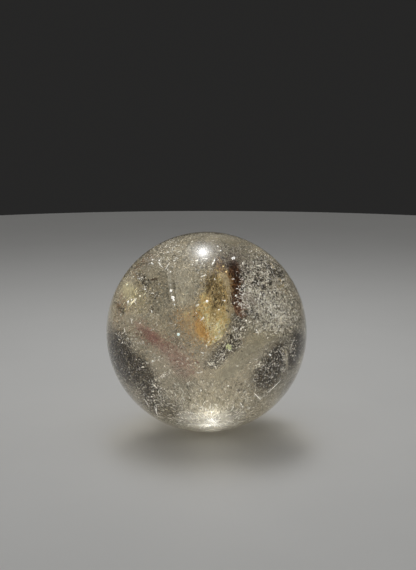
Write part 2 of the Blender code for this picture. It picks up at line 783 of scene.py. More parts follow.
@dataclass
class PolishedBall:
    """The outside of the stone: a ball with a small flat ground on its underside."""

    radius: float
    flat_radius: float
    middle_height: float
    around: int = 192
    rings: int = 96
    sharp: float = math.radians(8)

    def build(self) -> bpy.types.Object:
        """Makes the ball, which stands for the plain solid.

        A point is at (radius sin a cos b, radius sin a sin b, height - radius cos a). a runs from
        the flat's rim to the top and b round the ball. One more ring and a middle point close the
        flat, and one point closes the top.

        Returns:
            The piece.
        """
        rim = math.asin(self.flat_radius / self.radius)
        down = np.linspace(rim, math.pi, self.rings + 1)[:-1, None]
        turn = np.linspace(0.0, math.tau, self.around, endpoint=False)[None, :]
        wide, high = self.radius * np.sin(down), self.middle_height - self.radius * np.cos(down)
        grid = np.stack([wide * np.cos(turn), wide * np.sin(turn), high + 0.0 * turn], axis=-1).reshape(-1, 3)
        ends = np.array([[0.0, 0.0, 0.0], [0.0, 0.0, self.middle_height + self.radius]])
        places = np.concatenate([grid, ends])
        low, top = len(grid), len(grid) + 1
        ring = np.arange(self.around)
        after = np.roll(ring, -1)
        steps = self.around * np.arange(self.rings - 1)[:, None]
        first = np.stack([steps + ring, steps + after, steps + self.around + after], axis=-1)
        second = np.stack([steps + ring, steps + self.around + after, steps + self.around + ring], axis=-1)
        last = self.around * (self.rings - 1)
        floor = np.stack([np.full(self.around, low), after, ring], axis=-1)
        crown = np.stack([np.full(self.around, top), last + ring, last + after], axis=-1)
        faces = np.concatenate([first.reshape(-1, 3), second.reshape(-1, 3), floor, crown])
        made = new_piece("polished_ball", places, faces, QuartzFinish().material("polished_quartz"))
        made.data.shade_smooth()
        made.data.set_sharp_from_angle(angle=self.sharp)
        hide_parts(STONE)
        return made


Windows = tuple[tuple[Region, float], ...]

FRONT_WINDOWS: Windows = (
    (Region(((117, 342), (124, 356), (136, 368)), 11.5, edge=0.5), 0.97),
    (Region(((112, 362), (124, 382)), 8.0, edge=0.7), 0.75),
    (Region(((140, 364), (150, 380), (150, 398)), 7.0, edge=0.7), 0.9),
    (Region(((140, 394), (152, 408), (170, 414)), 8.0, edge=0.8), 0.85),
    (Region(((278, 353), (272, 367), (264, 379)), 13.0, edge=0.3), 0.98),
    (Region(((295, 336), (296, 350), (291, 364)), 6.0, edge=0.5), 0.95),
    (Region(((240, 318), (236, 342), (228, 348), (221, 355), (213, 363)), 7.0), 0.9),
    (Region(((139, 276), (150, 296)), 5.0, -30.0, -10.0), 0.95),
    (Region(((152, 309), (155, 312)), 4.0, -30.0, -8.0), 0.9),
    (Region(((262, 280), (272, 298), (284, 312)), 20.0, -30.0, -6.0), 0.8),
    (Region(((219, 262), (217, 285), (214, 308), (211, 335)), 18.0, -30.0, -10.0, 0.3), 1.0),
    (Region(((231, 263), (238, 287), (239, 306)), 8.0, -30.0, -10.0), 1.0),
    (Region(((185, 262), (184, 290), (187, 318)), 12.0, -30.0, -18.0), 0.85),
    (Region(((203, 379), (224, 375), (238, 361), (253, 346), (266, 338)), 10.0, -30.0, -17.0), 0.9),
    (Region(((250, 338), (276, 337)), 8.0, -30.0, -17.0), 0.95),
    (Region(((185, 400), (212, 402), (240, 396)), 12.0, -30.0, -15.0), 0.6),
    (Region(((141, 329), (160, 342), (181, 358), (193, 368)), 7.0, -30.0, -18.0), 0.8),
    (Region(((118, 300), (130, 284), (152, 264)), 15.0, -30.0, -16.0), 0.75),
    (Region(((125, 318), (152, 322), (175, 334)), 10.0, -30.0, -18.0), 0.6),
)


@dataclass(frozen=True)
class Clearings:
    """The clear windows between the clouds: for each view its zones and how much cloud they lack."""

    views: tuple[tuple[Sightline, Windows], ...] = ()

    def left(self, places: np.ndarray) -> np.ndarray:
        """Finds how much of the cloud the windows leave.

        Args:
            places: One a row, relative to the ball's middle.

        Returns:
            A share between 0 and 1 for each.
        """
        amount = np.ones(len(places))
        for sight, windows in self.views:
            pixels, depth_mm = sight.shown_at(places), places @ sight.ahead / MM
            for region, missing in windows:
                amount = amount * (1.0 - missing * region.share(pixels, depth_mm))
        return amount


@dataclass
class Haze:
    """The fine dust that clouds the whole crystal, thin where it is clear.

    thinnest and thinnest_fine are the least shares of dust that its clouds and their finer pattern
    leave, and least_lively is the least share of its grains that have lively colours.
    """

    sight: Sightline
    clearings: Clearings
    pieces: int = 3
    flakes: int = 31500
    batch: int = 60000
    size_mm: float = 0.218
    shrink: float = 0.5
    form: Colour = (2.0, 0.9, 0.35)
    lift_mm: float = 0.4
    seed: int = 100
    thinnest: float = 0.12
    thinnest_fine: float = 0.3
    thinner_outside: float = 0.6
    darker_outside: float = 0.4
    least_lively: float = 0.1
    calm: Grains = Grains(((0.36, 0.345, 0.29), (0.44, 0.42, 0.35), (0.52, 0.5, 0.42)), (0.35, 0.4, 0.25))
    lively: Grains = Grains(
        ((0.07, 0.064, 0.052), (0.36, 0.345, 0.29), (0.52, 0.5, 0.42), (1.0, 0.98, 0.92)),
        (0.26, 0.38, 0.2, 0.16),
    )
    stains: Stains = (
        (
            Region(((120, 262), (142, 270), (160, 282)), 13.0, -30.0, 8.0, 0.8),
            Grains(((0.26, 0.245, 0.2), (0.34, 0.325, 0.27)), (0.6, 0.4)),
            0.6,
        ),
        (
            Region(((141, 329), (160, 342), (181, 358), (193, 368)), 8.0, -30.0, 6.0, 0.9),
            Grains(((0.36, 0.20, 0.17), (0.24, 0.14, 0.12), (0.6, 0.42, 0.36)), (0.6, 0.32, 0.08)),
            0.9,
        ),
        (
            Region(((131, 284), (132, 302)), 12.0, -30.0, 8.0, 0.7),
            Grains(((0.46, 0.42, 0.27), (0.62, 0.56, 0.34), (0.95, 0.85, 0.55)), (0.5, 0.3, 0.2)),
            0.9,
        ),
        (
            Region(((188, 320), (200, 340)), 13.0, -30.0, 6.0, 0.8),
            Grains(((0.66, 0.42, 0.2), (0.5, 0.4, 0.28), (0.85, 0.66, 0.4)), (0.4, 0.4, 0.2)),
            0.7,
        ),
    )

    def thickness(self, places: np.ndarray, fields: tuple[Mottle, ...]) -> np.ndarray:
        """Finds how thick the dust is: clouds, broken up by a finer field, thinner to the outside.

        Args:
            places: One a row, relative to the ball's middle.
            fields: A wide field, a fine one and one that is drawn out.

        Returns:
            A share between 0 and 1 for each.
        """
        cloud, fine, drawn = (mottle.at(places) for mottle in fields)
        clouded = smooth(0.6 * cloud + 0.4 * drawn, 0.36, 0.64)
        amount = self.thinnest + (1.0 - self.thinnest) * clouded
        amount = amount * (self.thinnest_fine + (1.0 - self.thinnest_fine) * smooth(fine, 0.3, 0.7))
        out = np.linalg.norm(places, axis=1) / self.sight.radius
        amount = amount * (1.0 - self.thinner_outside * smooth(out, 0.7, 1.0))
        return amount * self.clearings.left(places)

    def tints(
        self, places: np.ndarray, pixels: np.ndarray, rng: np.random.Generator, liveliness: Mottle
    ) -> np.ndarray:
        """Draws the dust's colours: its own, calm or lively, or a stain's.

        Args:
            places: One a row, relative to the ball's middle.
            pixels: Where they show.
            rng: The source of the draws.
            liveliness: The field that says where the dust is lively.

        Returns:
            A colour for each.
        """
        depth = places @ self.sight.ahead / MM
        alive = smooth(liveliness.at(places), 0.44, 0.62)
        awake = rng.random(len(places)) < self.least_lively + (1.0 - self.least_lively) * alive
        lively, calm = self.lively.pick(rng, len(places)), self.calm.pick(rng, len(places))
        return stain(np.where(awake[:, None], lively, calm), self.stains, pixels, depth, rng)

    def build(self) -> list[bpy.types.Object]:
        """Makes the dust in several pieces, by keeping random places as often as it is thick.

        A flake is smaller the nearer it lies to the outside, by the square of its distance from the
        ball's middle.

        Returns:
            The pieces.
        """
        finish = DustFinish().material("fine_dust")
        fields = (Mottle(11, 18.0), Mottle(12, 2.6, 2), Mottle(13, 5.0, 2, (1.0, 1.0, 4.0)))
        liveliness = Mottle(14, 8.0, 2)
        made = []
        for number in range(self.pieces):
            rng = np.random.default_rng(self.seed + number)
            spots: list[np.ndarray] = []
            colours: list[np.ndarray] = []
            while sum(map(len, spots)) < self.flakes:
                spot = strewn(rng, self.batch, self.sight.reach)
                spot = spot[spot[:, 2] + self.sight.middle[2] > self.lift_mm * MM]
                spot = spot[rng.random(len(spot)) < self.thickness(spot, fields)]
                spots.append(spot)
                colours.append(self.tints(spot, self.sight.shown_at(spot), rng, liveliness))
            places = np.concatenate(spots)[: self.flakes]
            out = np.linalg.norm(places, axis=1) / self.sight.radius
            flakes = Grit(rng)
            tints = np.concatenate(colours)[: self.flakes]
            tints = tints * (1.0 - self.darker_outside * smooth(out, 0.45, 0.95))[:, None]
            flakes.add(places, self.size_mm * (1.0 - self.shrink * out**2), tints, self.form)
            made.append(flakes.build(f"fine_dust_{number + 1}", self.sight.middle, finish))
        return made


def pressed_disc(rings: int, spokes: int) -> tuple[np.ndarray, np.ndarray, np.ndarray]:
    """Works out a closed disc of two sheets that meet at its rim.

    Args:
        rings: How many rings of points each sheet has, the rim included.
        spokes: How many points a ring has.

    Returns:
        The points as pairs within the unit circle, each one's side (1, -1, or 0 at the rim), and
        the triangles.
    """
    share = np.linspace(0.0, 1.0, rings + 1)[1:, None, None]
    angle = np.linspace(0.0, math.tau, spokes, endpoint=False)
    grid = share * np.stack([np.cos(angle), np.sin(angle)], axis=1)
    sheet = np.concatenate([grid[:-1].reshape(-1, 2), [[0.0, 0.0]]])
    flat = np.concatenate([sheet, sheet, grid[-1]])
    side = np.repeat([1.0, -1.0, 0.0], [len(sheet), len(sheet), spokes])
    inner = np.arange(len(sheet) - 1).reshape(rings - 1, spokes)
    rim = 2 * len(sheet) + np.arange(spokes)[None]
    triangles = []
    for start, order in ((0, 1), (len(sheet), -1)):
        rows = np.concatenate([np.full((1, spokes), start + len(sheet) - 1), inner + start, rim])
        low, high = rows[:-1], rows[1:]
        one = np.stack([low, high, np.roll(high, -1, axis=1)], axis=-1)
        two = np.stack([low[1:], np.roll(high, -1, axis=1)[1:], np.roll(low, -1, axis=1)[1:]], axis=-1)
        both = np.concatenate([one.reshape(-1, 3), two.reshape(-1, 3)])
        triangles.append(both[:, ::order])
    return flat, side, np.concatenate(triangles)


@dataclass(frozen=True)
class MilkFinish:
    """The finish of a milky film: soft clouds, with a net of fine bright threads.

    cloud and threads are how much each of them covers at most, and even is the cloud's least share.
    """

    colour: Colour = (0.56, 0.52, 0.43)
    cloud: float = 0.3
    threads: float = 0.15
    cloud_mm: float = 7.0
    thread_mm: float = 1.1
    stretch: Colour = (1.0, 1.0, 1.0)
    even: float = 0.4
    thread: float = 0.045
    paler: float = 1.6

    def material(self, name: str) -> Any:
        """Makes the material.

        The threads are where a noise passes through its middle value, and the film's own attribute
        fade takes its edge down to nothing.

        Args:
            name: The material's name.

        Returns:
            The material.
        """
        tree = ShaderTree.of_material(name)
        fade = tree.node("ShaderNodeAttribute", {"attribute_name": "fade"}, {}, "Fac")
        clouds = tree.ease(tree.noise(self.cloud_mm, 3.0, self.stretch), 0.36, 0.66)
        fine = tree.noise(self.thread_mm, 2.0, self.stretch)
        threads = tree.ease(abs(fine - 0.5), self.thread, 0.0)
        patches = tree.ease(tree.noise(2.5 * self.thread_mm, 1.0, self.stretch), 0.42, 0.62)
        clouds = self.even + (1.0 - self.even) * clouds
        alpha = fade * (self.cloud * clouds + self.threads * threads * patches)
        pale = tuple(min(1.0, part * self.paler) for part in self.colour)
        colour = tree.mix(threads, (*self.colour, 1.0), (*pale, 1.0))
        tree.fill(Base_Color=colour, Alpha=alpha, Roughness=0.5)
        return tree.owner


@dataclass
class Films:
    """Gathers milky films, each a pressed disc, into one piece."""

    sight: Sightline
    clearings: Clearings
    rings: int = 18
    spokes: int = 48
    places: list[np.ndarray] = field(default_factory=list)
    fades: list[np.ndarray] = field(default_factory=list)

    def add(self, sheet: Any, edge: float) -> None:
        """Adds one film, less where the stone has a clear window.

        Args:
            sheet: A function that gives the places for pairs in the unit circle and their sides.
            edge: The power of the distance from the film's middle by which it fades to its rim.
        """
        flat, side, _ = pressed_disc(self.rings, self.spokes)
        out = np.linalg.norm(flat, axis=1)
        places = sheet(flat, side * (1.0 - out**2))
        self.places.append(places + self.sight.middle)
        self.fades.append((1.0 - out**edge) * self.clearings.left(places))

    def build(self, name: str, finish: MilkFinish) -> bpy.types.Object:
        """Makes the piece, with how far each point fades in the attribute fade.

        Args:
            name: The piece's name.
            finish: The films' finish.

        Returns:
            The piece.
        """
        faces = pressed_disc(self.rings, self.spokes)[2]
        step = len(self.places[0])
        faces = np.concatenate([faces + step * number for number in range(len(self.places))])
        made = new_piece(name, np.concatenate(self.places), faces, finish.material(name))
        layer = made.data.attributes.new("fade", "FLOAT", "POINT")
        layer.data.foreach_set("value", np.concatenate(self.fades).astype(np.float32))
        made.data.shade_smooth()
        return made


@dataclass
class CrossingVeils:
    """The healed cracks that cross the crystal, each a wavy film from side to side."""

    sight: Sightline
    clearings: Clearings
    count: int = 14
    wave_mm: float = 3.0
    wave_cell_mm: float = 16.0
    thick_mm: float = 0.3
    off_middle: float = 0.55
    reach: float = 0.95
    finish: MilkFinish = MilkFinish(cloud=0.36, threads=0.2)
    seed: int = 31
    wave_seed: int = 300

    def build(self) -> bpy.types.Object:
        """Makes all the films as one piece.

        A film's normal is the next on a spiral round a globe, and its distance from the ball's
        middle is random. It lies across that normal, as wide as the ball there, and a smooth random
        field moves each point along the normal.

        Returns:
            The piece.
        """
        rng = np.random.default_rng(self.seed)
        films = Films(self.sight, self.clearings)
        for number in range(self.count):
            height = 1.0 - (2.0 * number + 1.0) / self.count
            turn = number * math.pi * (3.0 - math.sqrt(5.0))
            level = math.sqrt(1.0 - height**2)
            normal = np.array([level * math.cos(turn), level * math.sin(turn), height])
            first = unit(np.cross(normal, [0.31, 0.77, 0.55]))
            second = np.cross(normal, first)
            offset = self.sight.radius * rng.uniform(-self.off_middle, self.off_middle)
            reach = math.sqrt((self.reach * self.sight.radius) ** 2 - offset**2) - self.wave_mm * MM
            wave = Mottle(self.wave_seed + number, self.wave_cell_mm, 2)

            def sheet(flat: np.ndarray, side: np.ndarray) -> np.ndarray:
                """Returns the film's places."""
                across = reach * (flat[:, :1] * first + flat[:, 1:] * second)
                rise = 2.0 * self.wave_mm * MM * (wave.at(across) - 0.5)
                rise = offset + rise + self.thick_mm * MM / 2 * side
                return across + rise[:, None] * normal

            films.add(sheet, 2.5)
        return films.build("milky_veils", self.finish)


@dataclass(frozen=True)
class Wisp:
    """A milky film that faces the camera: a line of pixels, how wide it is, its depth and its bow."""

    spine: tuple[Pixel, ...]
    reach: float
    depth_mm: float
    bow_mm: float = 2.0
    thick_mm: float = 0.5
    edge: float = 2.0
    ease_px: float = 4.0

    def add_to(self, films: Films) -> None:
        """Adds the film.

        The unit circle's first coordinate runs along the line and its second across it, so the film
        is widest halfway and comes to a point at both ends. It bows away from the camera towards
        its rim by the square of the distance.

        Args:
            films: The piece's films.
        """
        line = np.array(self.spine, float)
        step = np.linalg.norm(np.diff(line, axis=0), axis=1)
        run = np.concatenate([[0.0], np.cumsum(step)])

        def point(along: np.ndarray) -> np.ndarray:
            """Returns the line's pixels at lengths along it."""
            return np.stack([np.interp(along, run, line[:, axis]) for axis in (0, 1)], axis=1)

        def sheet(flat: np.ndarray, side: np.ndarray) -> np.ndarray:
            """Returns the film's places."""
            along = run[-1] * (0.5 + 0.5 * flat[:, 0])
            way = unit(point(along + self.ease_px) - point(along - self.ease_px) + TINY)
            aside = np.stack([-way[:, 1], way[:, 0]], axis=1)
            pixels = point(along) + self.reach * flat[:, 1:] * aside
            out = np.sum(flat**2, axis=1)
            depth = self.depth_mm + self.bow_mm * out - self.thick_mm / 2 * side
            return films.sight.inside(pixels, depth)

        films.add(sheet, self.edge)


@dataclass(frozen=True)
class Veil:
    """A piece of milky wisps with one finish. One that lies in the clear windows isn't cleared by them."""

    name: str
    finish: MilkFinish
    wisps: tuple[Wisp, ...]
    in_windows: bool = False
    rings: int = 12
    spokes: int = 36

    def build(self, sight: Sightline, clearings: Clearings) -> bpy.types.Object:
        """Makes the piece.

        Args:
            sight: The photograph's view.
            clearings: The stone's clear windows.

        Returns:
            The piece.
        """
        films = Films(sight, Clearings() if self.in_windows else clearings, self.rings, self.spokes)
        for wisp in self.wisps:
            wisp.add_to(films)
        return films.build(self.name, self.finish)


DRAWN_DOWN = (1.0, 1.0, 3.0)
VEILS = (
    Veil(
        "soft_milk",
        MilkFinish((0.54, 0.5, 0.4), 0.6, 0.1, 5.0, 1.4, DRAWN_DOWN, 0.6),
        (
            Wisp(((185, 258), (184, 290), (187, 320)), 11.0, -15.0),
            Wisp(((172, 244), (206, 237), (242, 243)), 5.0, -4.0),
            Wisp(((190, 243), (224, 240), (258, 246)), 7.0, -6.0),
            Wisp(((180, 400), (212, 402), (248, 395)), 15.0, -12.0),
            Wisp(((160, 300), (158, 325), (170, 345)), 9.0, -12.0),
            Wisp(((122, 306), (136, 284), (162, 264)), 13.0, -13.0, 1.0),
            Wisp(((120, 316), (152, 322), (180, 338)), 11.0, -14.0),
        ),
    ),
    Veil(
        "smooth_veil",
        MilkFinish((0.45, 0.42, 0.33), 0.9, 0.03, 6.0, 1.4, even=0.85),
        (
            Wisp(((198, 381), (224, 375), (238, 361), (253, 346), (264, 338), (284, 330)), 11.0, -16.0),
            Wisp(((246, 339), (262, 339), (284, 333)), 8.0, -16.5),
        ),
    ),
    Veil(
        "light_streaks",
        MilkFinish((0.66, 0.63, 0.54), 0.5, 0.2, 4.0, 0.9, DRAWN_DOWN, 0.5),
        (
            Wisp(((167, 258), (170, 282), (174, 310)), 2.6, -17.0, 0.5, 0.2),
            Wisp(((178, 266), (177, 290), (180, 314)), 2.2, -17.5, 0.5, 0.2),
            Wisp(((187, 262), (189, 285), (191, 306)), 2.4, -17.0, 0.5, 0.2),
            Wisp(((196, 268), (196, 286), (193, 304)), 1.8, -17.5, 0.5, 0.2),
        ),
    ),
    # Painted shade: dark films that darken the ball along its rims.
    Veil(
        "rim_painted_shade",
        MilkFinish((0.11, 0.085, 0.05), 0.92, 0.05, 5.0, 1.4, even=0.75),
        (
            Wisp(((299, 286), (304, 330), (299, 364), (284, 394)), 4.6, 2.0, 1.0, 0.3, 6.0),
            Wisp(((109.5, 316), (111.5, 350), (121, 384), (142, 412)), 4.2, 2.0, 1.0, 0.3, 6.0),
        ),
    ),
    # Painted shade: near-black films in the clear windows, for the darkness seen through them.
    Veil(
        "window_painted_shade",
        MilkFinish((0.022, 0.014, 0.005), 0.96, 0.0, 5.0, 1.4, even=0.85),
        (
            Wisp(((296, 328), (281, 362), (260, 390)), 16.0, 6.0, edge=2.5),
            Wisp(((294, 332), (280, 362), (262, 386)), 13.0, 3.0, edge=2.5),
            Wisp(((297, 326), (298, 346), (289, 368)), 8.0, -2.0, edge=2.5),
            Wisp(((112, 330), (121, 356), (146, 392)), 14.0, 6.0, 0.6, edge=2.5),
            Wisp(((113, 334), (121, 356), (142, 386)), 11.0, 3.0, 0.6, edge=2.5),
            Wisp(((242, 316), (236, 340), (226, 350), (211, 366)), 7.0, 3.0, edge=2.5),
        ),
        in_windows=True,
    ),
    Veil(
        "pale_ridge",
        MilkFinish((0.4, 0.37, 0.3), 0.75, 0.2, 3.0, 0.8, even=0.5),
        (Wisp(((283, 341), (286.5, 354), (287.5, 372)), 2.2, -12.0, 0.5, 0.2),),
        in_windows=True,
    ),
    Veil(
        "yellow_milk",
        MilkFinish((0.62, 0.57, 0.38), 0.7, 0.1, 4.0, 1.2, even=0.6),
        (Wisp(((123, 280), (129, 292), (138, 302)), 9.0, -15.5, 1.0),),
        in_windows=True,
    ),
    Veil(
        "golden_milk",
        MilkFinish((0.74, 0.57, 0.34), 0.62, 0.1, 4.0, 1.2, DRAWN_DOWN, 0.6),
        (Wisp(((192, 300), (189, 320), (196, 340)), 8.0, -16.5, 1.0),),
        in_windows=True,
    ),
    Veil(
        "column_milk",
        MilkFinish((0.68, 0.64, 0.54), 0.7, 0.1, 4.0, 1.2, DRAWN_DOWN, 0.55),
        (Wisp(((185, 264), (185, 290), (189, 314)), 9.0, -17.5, 1.0),),
    ),
    # Partly milky veil, partly painted light: pale films along the bottom, round the glow where the key
    # lamp's light is focused near the flat.
    Veil(
        "bottom_milk_and_painted_glow",
        MilkFinish((0.85, 0.82, 0.73), 0.65, 0.15, 4.0, 1.2, even=0.5),
        (
            Wisp(((172, 415), (211, 421), (250, 415)), 9.0, -14.0, 1.0),
            Wisp(((176, 423), (211, 428.5), (246, 423)), 4.5, -8.0, 0.6),
        ),
    ),
    # Painted light: a near-white film at the core of the glow where the key lamp's light is focused near the
    # flat.
    Veil(
        "glow_core_painted_light",
        MilkFinish((0.97, 0.97, 0.95), 0.8, 0.1, 4.0, 1.0, even=0.7),
        (Wisp(((203, 420), (211.5, 421.5), (220, 422.5)), 4.2, -20.0, 0.4),),
    ),
    Veil(
        "orange_milk",
        MilkFinish((0.7, 0.45, 0.19), 0.75, 0.1, 3.0, 1.0, even=0.7),
        (Wisp(((195.5, 318), (200, 331), (207, 342)), 5.0, -17.0, 1.0),),
        in_windows=True,
    ),
    Veil(
        "pink_wisp",
        MilkFinish((0.36, 0.2, 0.175), 0.62, 0.05, 4.0, 1.2, even=0.6),
        (Wisp(((133, 321), (154, 338), (179, 361)), 6.5, -17.0),),
    ),
    Veil(
        "faint_pink_wisp",
        MilkFinish((0.45, 0.33, 0.275), 0.55, 0.05, 4.0, 1.2, even=0.6),
        (Wisp(((160, 344), (178, 360), (188, 384)), 12.0, -17.0),),
    ),
)


@dataclass
class Plume:
    """The golden plume in the middle: a thin leaf of drawn-out grains, orange at its lower tip.

    left and right are its edges' pixels. A grain's length runs along the leaf by tilt: so many rows
    up and so many millimetres nearer.
    """

    sight: Sightline
    count: int = 22000
    left: tuple[Pixel, ...] = (
        (219, 257.5), (216, 263), (209, 273), (203, 284), (199, 298),
        (194, 310), (192, 322), (198, 334), (209, 344),
    )
    right: tuple[Pixel, ...] = (
        (219, 257.5), (224, 266), (230, 275), (234, 288), (235, 300),
        (233.5, 312), (229.5, 321), (224, 332), (218, 340), (209, 344),
    )
    depth_mm: float = -13.5
    thick_mm: float = 4.0
    feather_px: float = 3.0
    strewn_px: float = 0.7
    tilt: tuple[float, float] = (2.0, 0.25)
    stray: float = 0.12 * MM
    grain_mm: float = 0.19
    form: Colour = (2.6, 0.8, 0.3)
    finish: DustFinish = DustFinish(0.38)
    seed: int = 7
    gold: Grains = Grains(((0.74, 0.59, 0.31), (0.56, 0.45, 0.23), (1.0, 0.9, 0.6)), (0.5, 0.32, 0.18))
    stains: Stains = (
        (
            Region(((213, 266), (206, 284)), 7.0, edge=0.9),
            Grains(((0.38, 0.33, 0.25), (0.25, 0.21, 0.16), (0.52, 0.45, 0.35)), (0.4, 0.35, 0.25)),
            0.9,
        ),
        (
            Region(((212, 284), (220, 299)), 8.5, edge=0.9),
            Grains(((0.33, 0.25, 0.12), (0.10, 0.075, 0.04), (0.66, 0.53, 0.32)), (0.4, 0.32, 0.28)),
            0.9,
        ),
        (
            Region(((223, 274), (230.5, 287), (232.5, 300), (229.5, 313)), 4.0, edge=0.7),
            Grains(((0.8, 0.7, 0.5), (0.6, 0.52, 0.36)), (0.6, 0.4)),
            0.95,
        ),
        (
            Region(((207, 325), (218, 330), (212, 338)), 8.0, edge=0.8),
            Grains(
                ((1.0, 0.88, 0.56), (0.82, 0.67, 0.35), (1.0, 0.97, 0.8), (0.42, 0.32, 0.14)),
                (0.4, 0.26, 0.24, 0.1),
            ),
            0.9,
        ),
        (
            Region(((194, 315), (201, 329), (207, 340)), 4.5, edge=0.9),
            Grains(((0.7, 0.43, 0.14), (0.6, 0.4, 0.17), (0.86, 0.64, 0.34)), (0.5, 0.3, 0.2)),
            0.95,
        ),
        (
            Region(((218, 258), (221, 268)), 3.5, edge=0.8),
            Grains(((0.6, 0.45, 0.3), (0.48, 0.36, 0.24)), (0.6, 0.4)),
            0.9,
        ),
    )

    def pixels(self, across: np.ndarray, row: np.ndarray) -> np.ndarray:
        """Finds pixels in the leaf.

        Args:
            across: Shares of the way from its left edge to its right one.
            row: Rows in the photograph, as many.

        Returns:
            Columns and rows, one pair a row.
        """
        left, right = np.array(self.left), np.array(self.right)
        start = np.interp(row, left[:, 1], left[:, 0])
        end = np.interp(row, right[:, 1], right[:, 0])
        return np.stack([start + across * (end - start), row], axis=1)

    def build(self) -> bpy.types.Object:
        """Makes the plume.

        Grains lie at random over the leaf, fewer towards its left edge, and in depth within a lens
        that is thickest along its middle. Their length follows the leaf's rows from the tip to the
        top, and drawn-out blotches darken them in fibres.

        Returns:
            The piece.
        """
        rng = np.random.default_rng(self.seed)
        top, tip = self.left[0][1], self.left[-1][1]
        across = rng.random(4 * self.count)
        row = top + (tip - top) * rng.random(4 * self.count)
        width = self.pixels(np.ones(len(row)), row)[:, 0] - self.pixels(np.zeros(len(row)), row)[:, 0]
        chance = width / width.max() * (0.15 + 0.85 * smooth(across, 0.0, 0.45))
        kept = np.flatnonzero(rng.random(len(row)) < chance)[: self.count]
        across, row = across[kept], row[kept]
        lens = np.sqrt(1.0 - (2.0 * across - 1.0) ** 2)
        depth = self.depth_mm + self.thick_mm * lens * (rng.random(len(row)) - 0.5)
        pixels = self.pixels(across, row) + rng.normal(0.0, self.strewn_px, (len(row), 2))
        pixels[:, 0] += rng.normal(0.0, self.feather_px, len(row)) * (1.0 - smooth(across, 0.0, 0.4))
        places = self.sight.inside(pixels, depth)
        above = self.sight.inside(self.pixels(across, row - self.tilt[0]), depth - self.tilt[1])
        below = self.sight.inside(self.pixels(across, row), depth)
        fibre = smooth(Mottle(71, 1.3, 2, (1.0, 1.0, 6.0)).at(places), 0.3, 0.7)
        grit = Grit(rng)
        along = unit(above - below + rng.normal(0.0, self.stray, places.shape))
        shade = (0.85 + 0.4 * fibre)[:, None]
        tints = stain(self.gold.pick(rng, len(pixels)), self.stains, pixels, np.zeros(len(pixels)), rng)
        grit.add(places, self.grain_mm, np.minimum(tints * shade, 1.0), self.form, along)
        return grit.build("golden_plume", self.sight.middle, self.finish.material("golden_plume"))


@dataclass(frozen=True)
class Cluster:
    """Grains strewn through one zone of the stone."""

    region: Region
    count: int
    size_mm: float
    grains: Grains
    form: Colour = (1.0, 1.0, 0.3)
    lean: float = 0.0
    drawn: Colour | None = None
    bright: Colour = (0.0, -0.55, 0.83)
    stray: float = 0.25
    batch: int = 8000

    def places(self, sight: Sightline, rng: np.random.Generator) -> np.ndarray:
        """Draws places at random in the zone, fewer towards its edge.

        Args:
            sight: The view that the zone is given in.
            rng: The source of the draws.

        Returns:
            The places, one a row, relative to the ball's middle.
        """
        line = np.array(self.region.spine)
        grow = self.region.reach * (1 + self.region.edge)
        low, high = line.min(axis=0) - grow, line.max(axis=0) + grow
        near, far = self.region.near_mm, self.region.far_mm
        found: list[np.ndarray] = []
        while sum(map(len, found)) < self.count:
            pixels = low + (high - low) * rng.random((self.batch, 2))
            depth = near + (far - near) * rng.random(self.batch)
            keep = rng.random(self.batch) < self.region.share(pixels, depth)
            spots = sight.inside(pixels[keep], depth[keep])
            found.append(spots[np.linalg.norm(spots, axis=1) < sight.reach])
        return np.concatenate(found)[: self.count]

    def add_to(self, grit: Grit, sight: Sightline) -> None:
        """Adds the grains to a piece's.

        Their flat sides face the bright way, up and to the camera, as far as lean says. Where drawn
        gives a direction, their length follows that instead, but for a stray share.

        Args:
            grit: The piece's grains.
            sight: The view that the zone is given in.
        """
        places = self.places(sight, grit.rng)
        any_way = unit(grit.rng.normal(size=places.shape))
        tints = self.grains.pick(grit.rng, self.count)
        if self.drawn is None:
            facing = self.lean * unit(np.array(self.bright)) + (1.0 - self.lean) * any_way
            grit.add(places, self.size_mm, tints, self.form, facing=facing)
        else:
            along = np.array(self.drawn) + self.stray * any_way
            grit.add(places, self.size_mm, tints, self.form, along=along)


def clusters(form: Colour, rows: tuple[tuple[Any, ...], ...]) -> tuple[Cluster, ...]:
    """Makes clusters of grains of one form.

    Args:
        form: How long, wide and thick a grain is, in shares of its size.
        rows: For each cluster its zone's line, the zone's other measures in their order, how many
            grains it has, their size, their colours and, if they have one, their lean.

    Returns:
        The clusters.
    """
    return tuple(
        Cluster(Region(spine, *zone), count, size_mm, grains, form, *lean)
        for spine, zone, count, size_mm, grains, *lean in rows
    )


@dataclass(frozen=True)
class Swarm:
    """Clusters that make one piece, with its name, its grains' mould and its finish."""

    name: str
    mould: Mould
    finish: DustFinish
    seed: int
    clusters: tuple[Cluster, ...]

    def build(self, sight: Sightline) -> bpy.types.Object:
        """Makes the piece.

        Args:
            sight: The view that its zones are given in.

        Returns:
            The piece.
        """
        grit = Grit(np.random.default_rng(self.seed), self.mould)
        for cluster in self.clusters:
            cluster.add_to(grit, sight)
        return grit.build(self.name, sight.middle, self.finish.material(self.name))


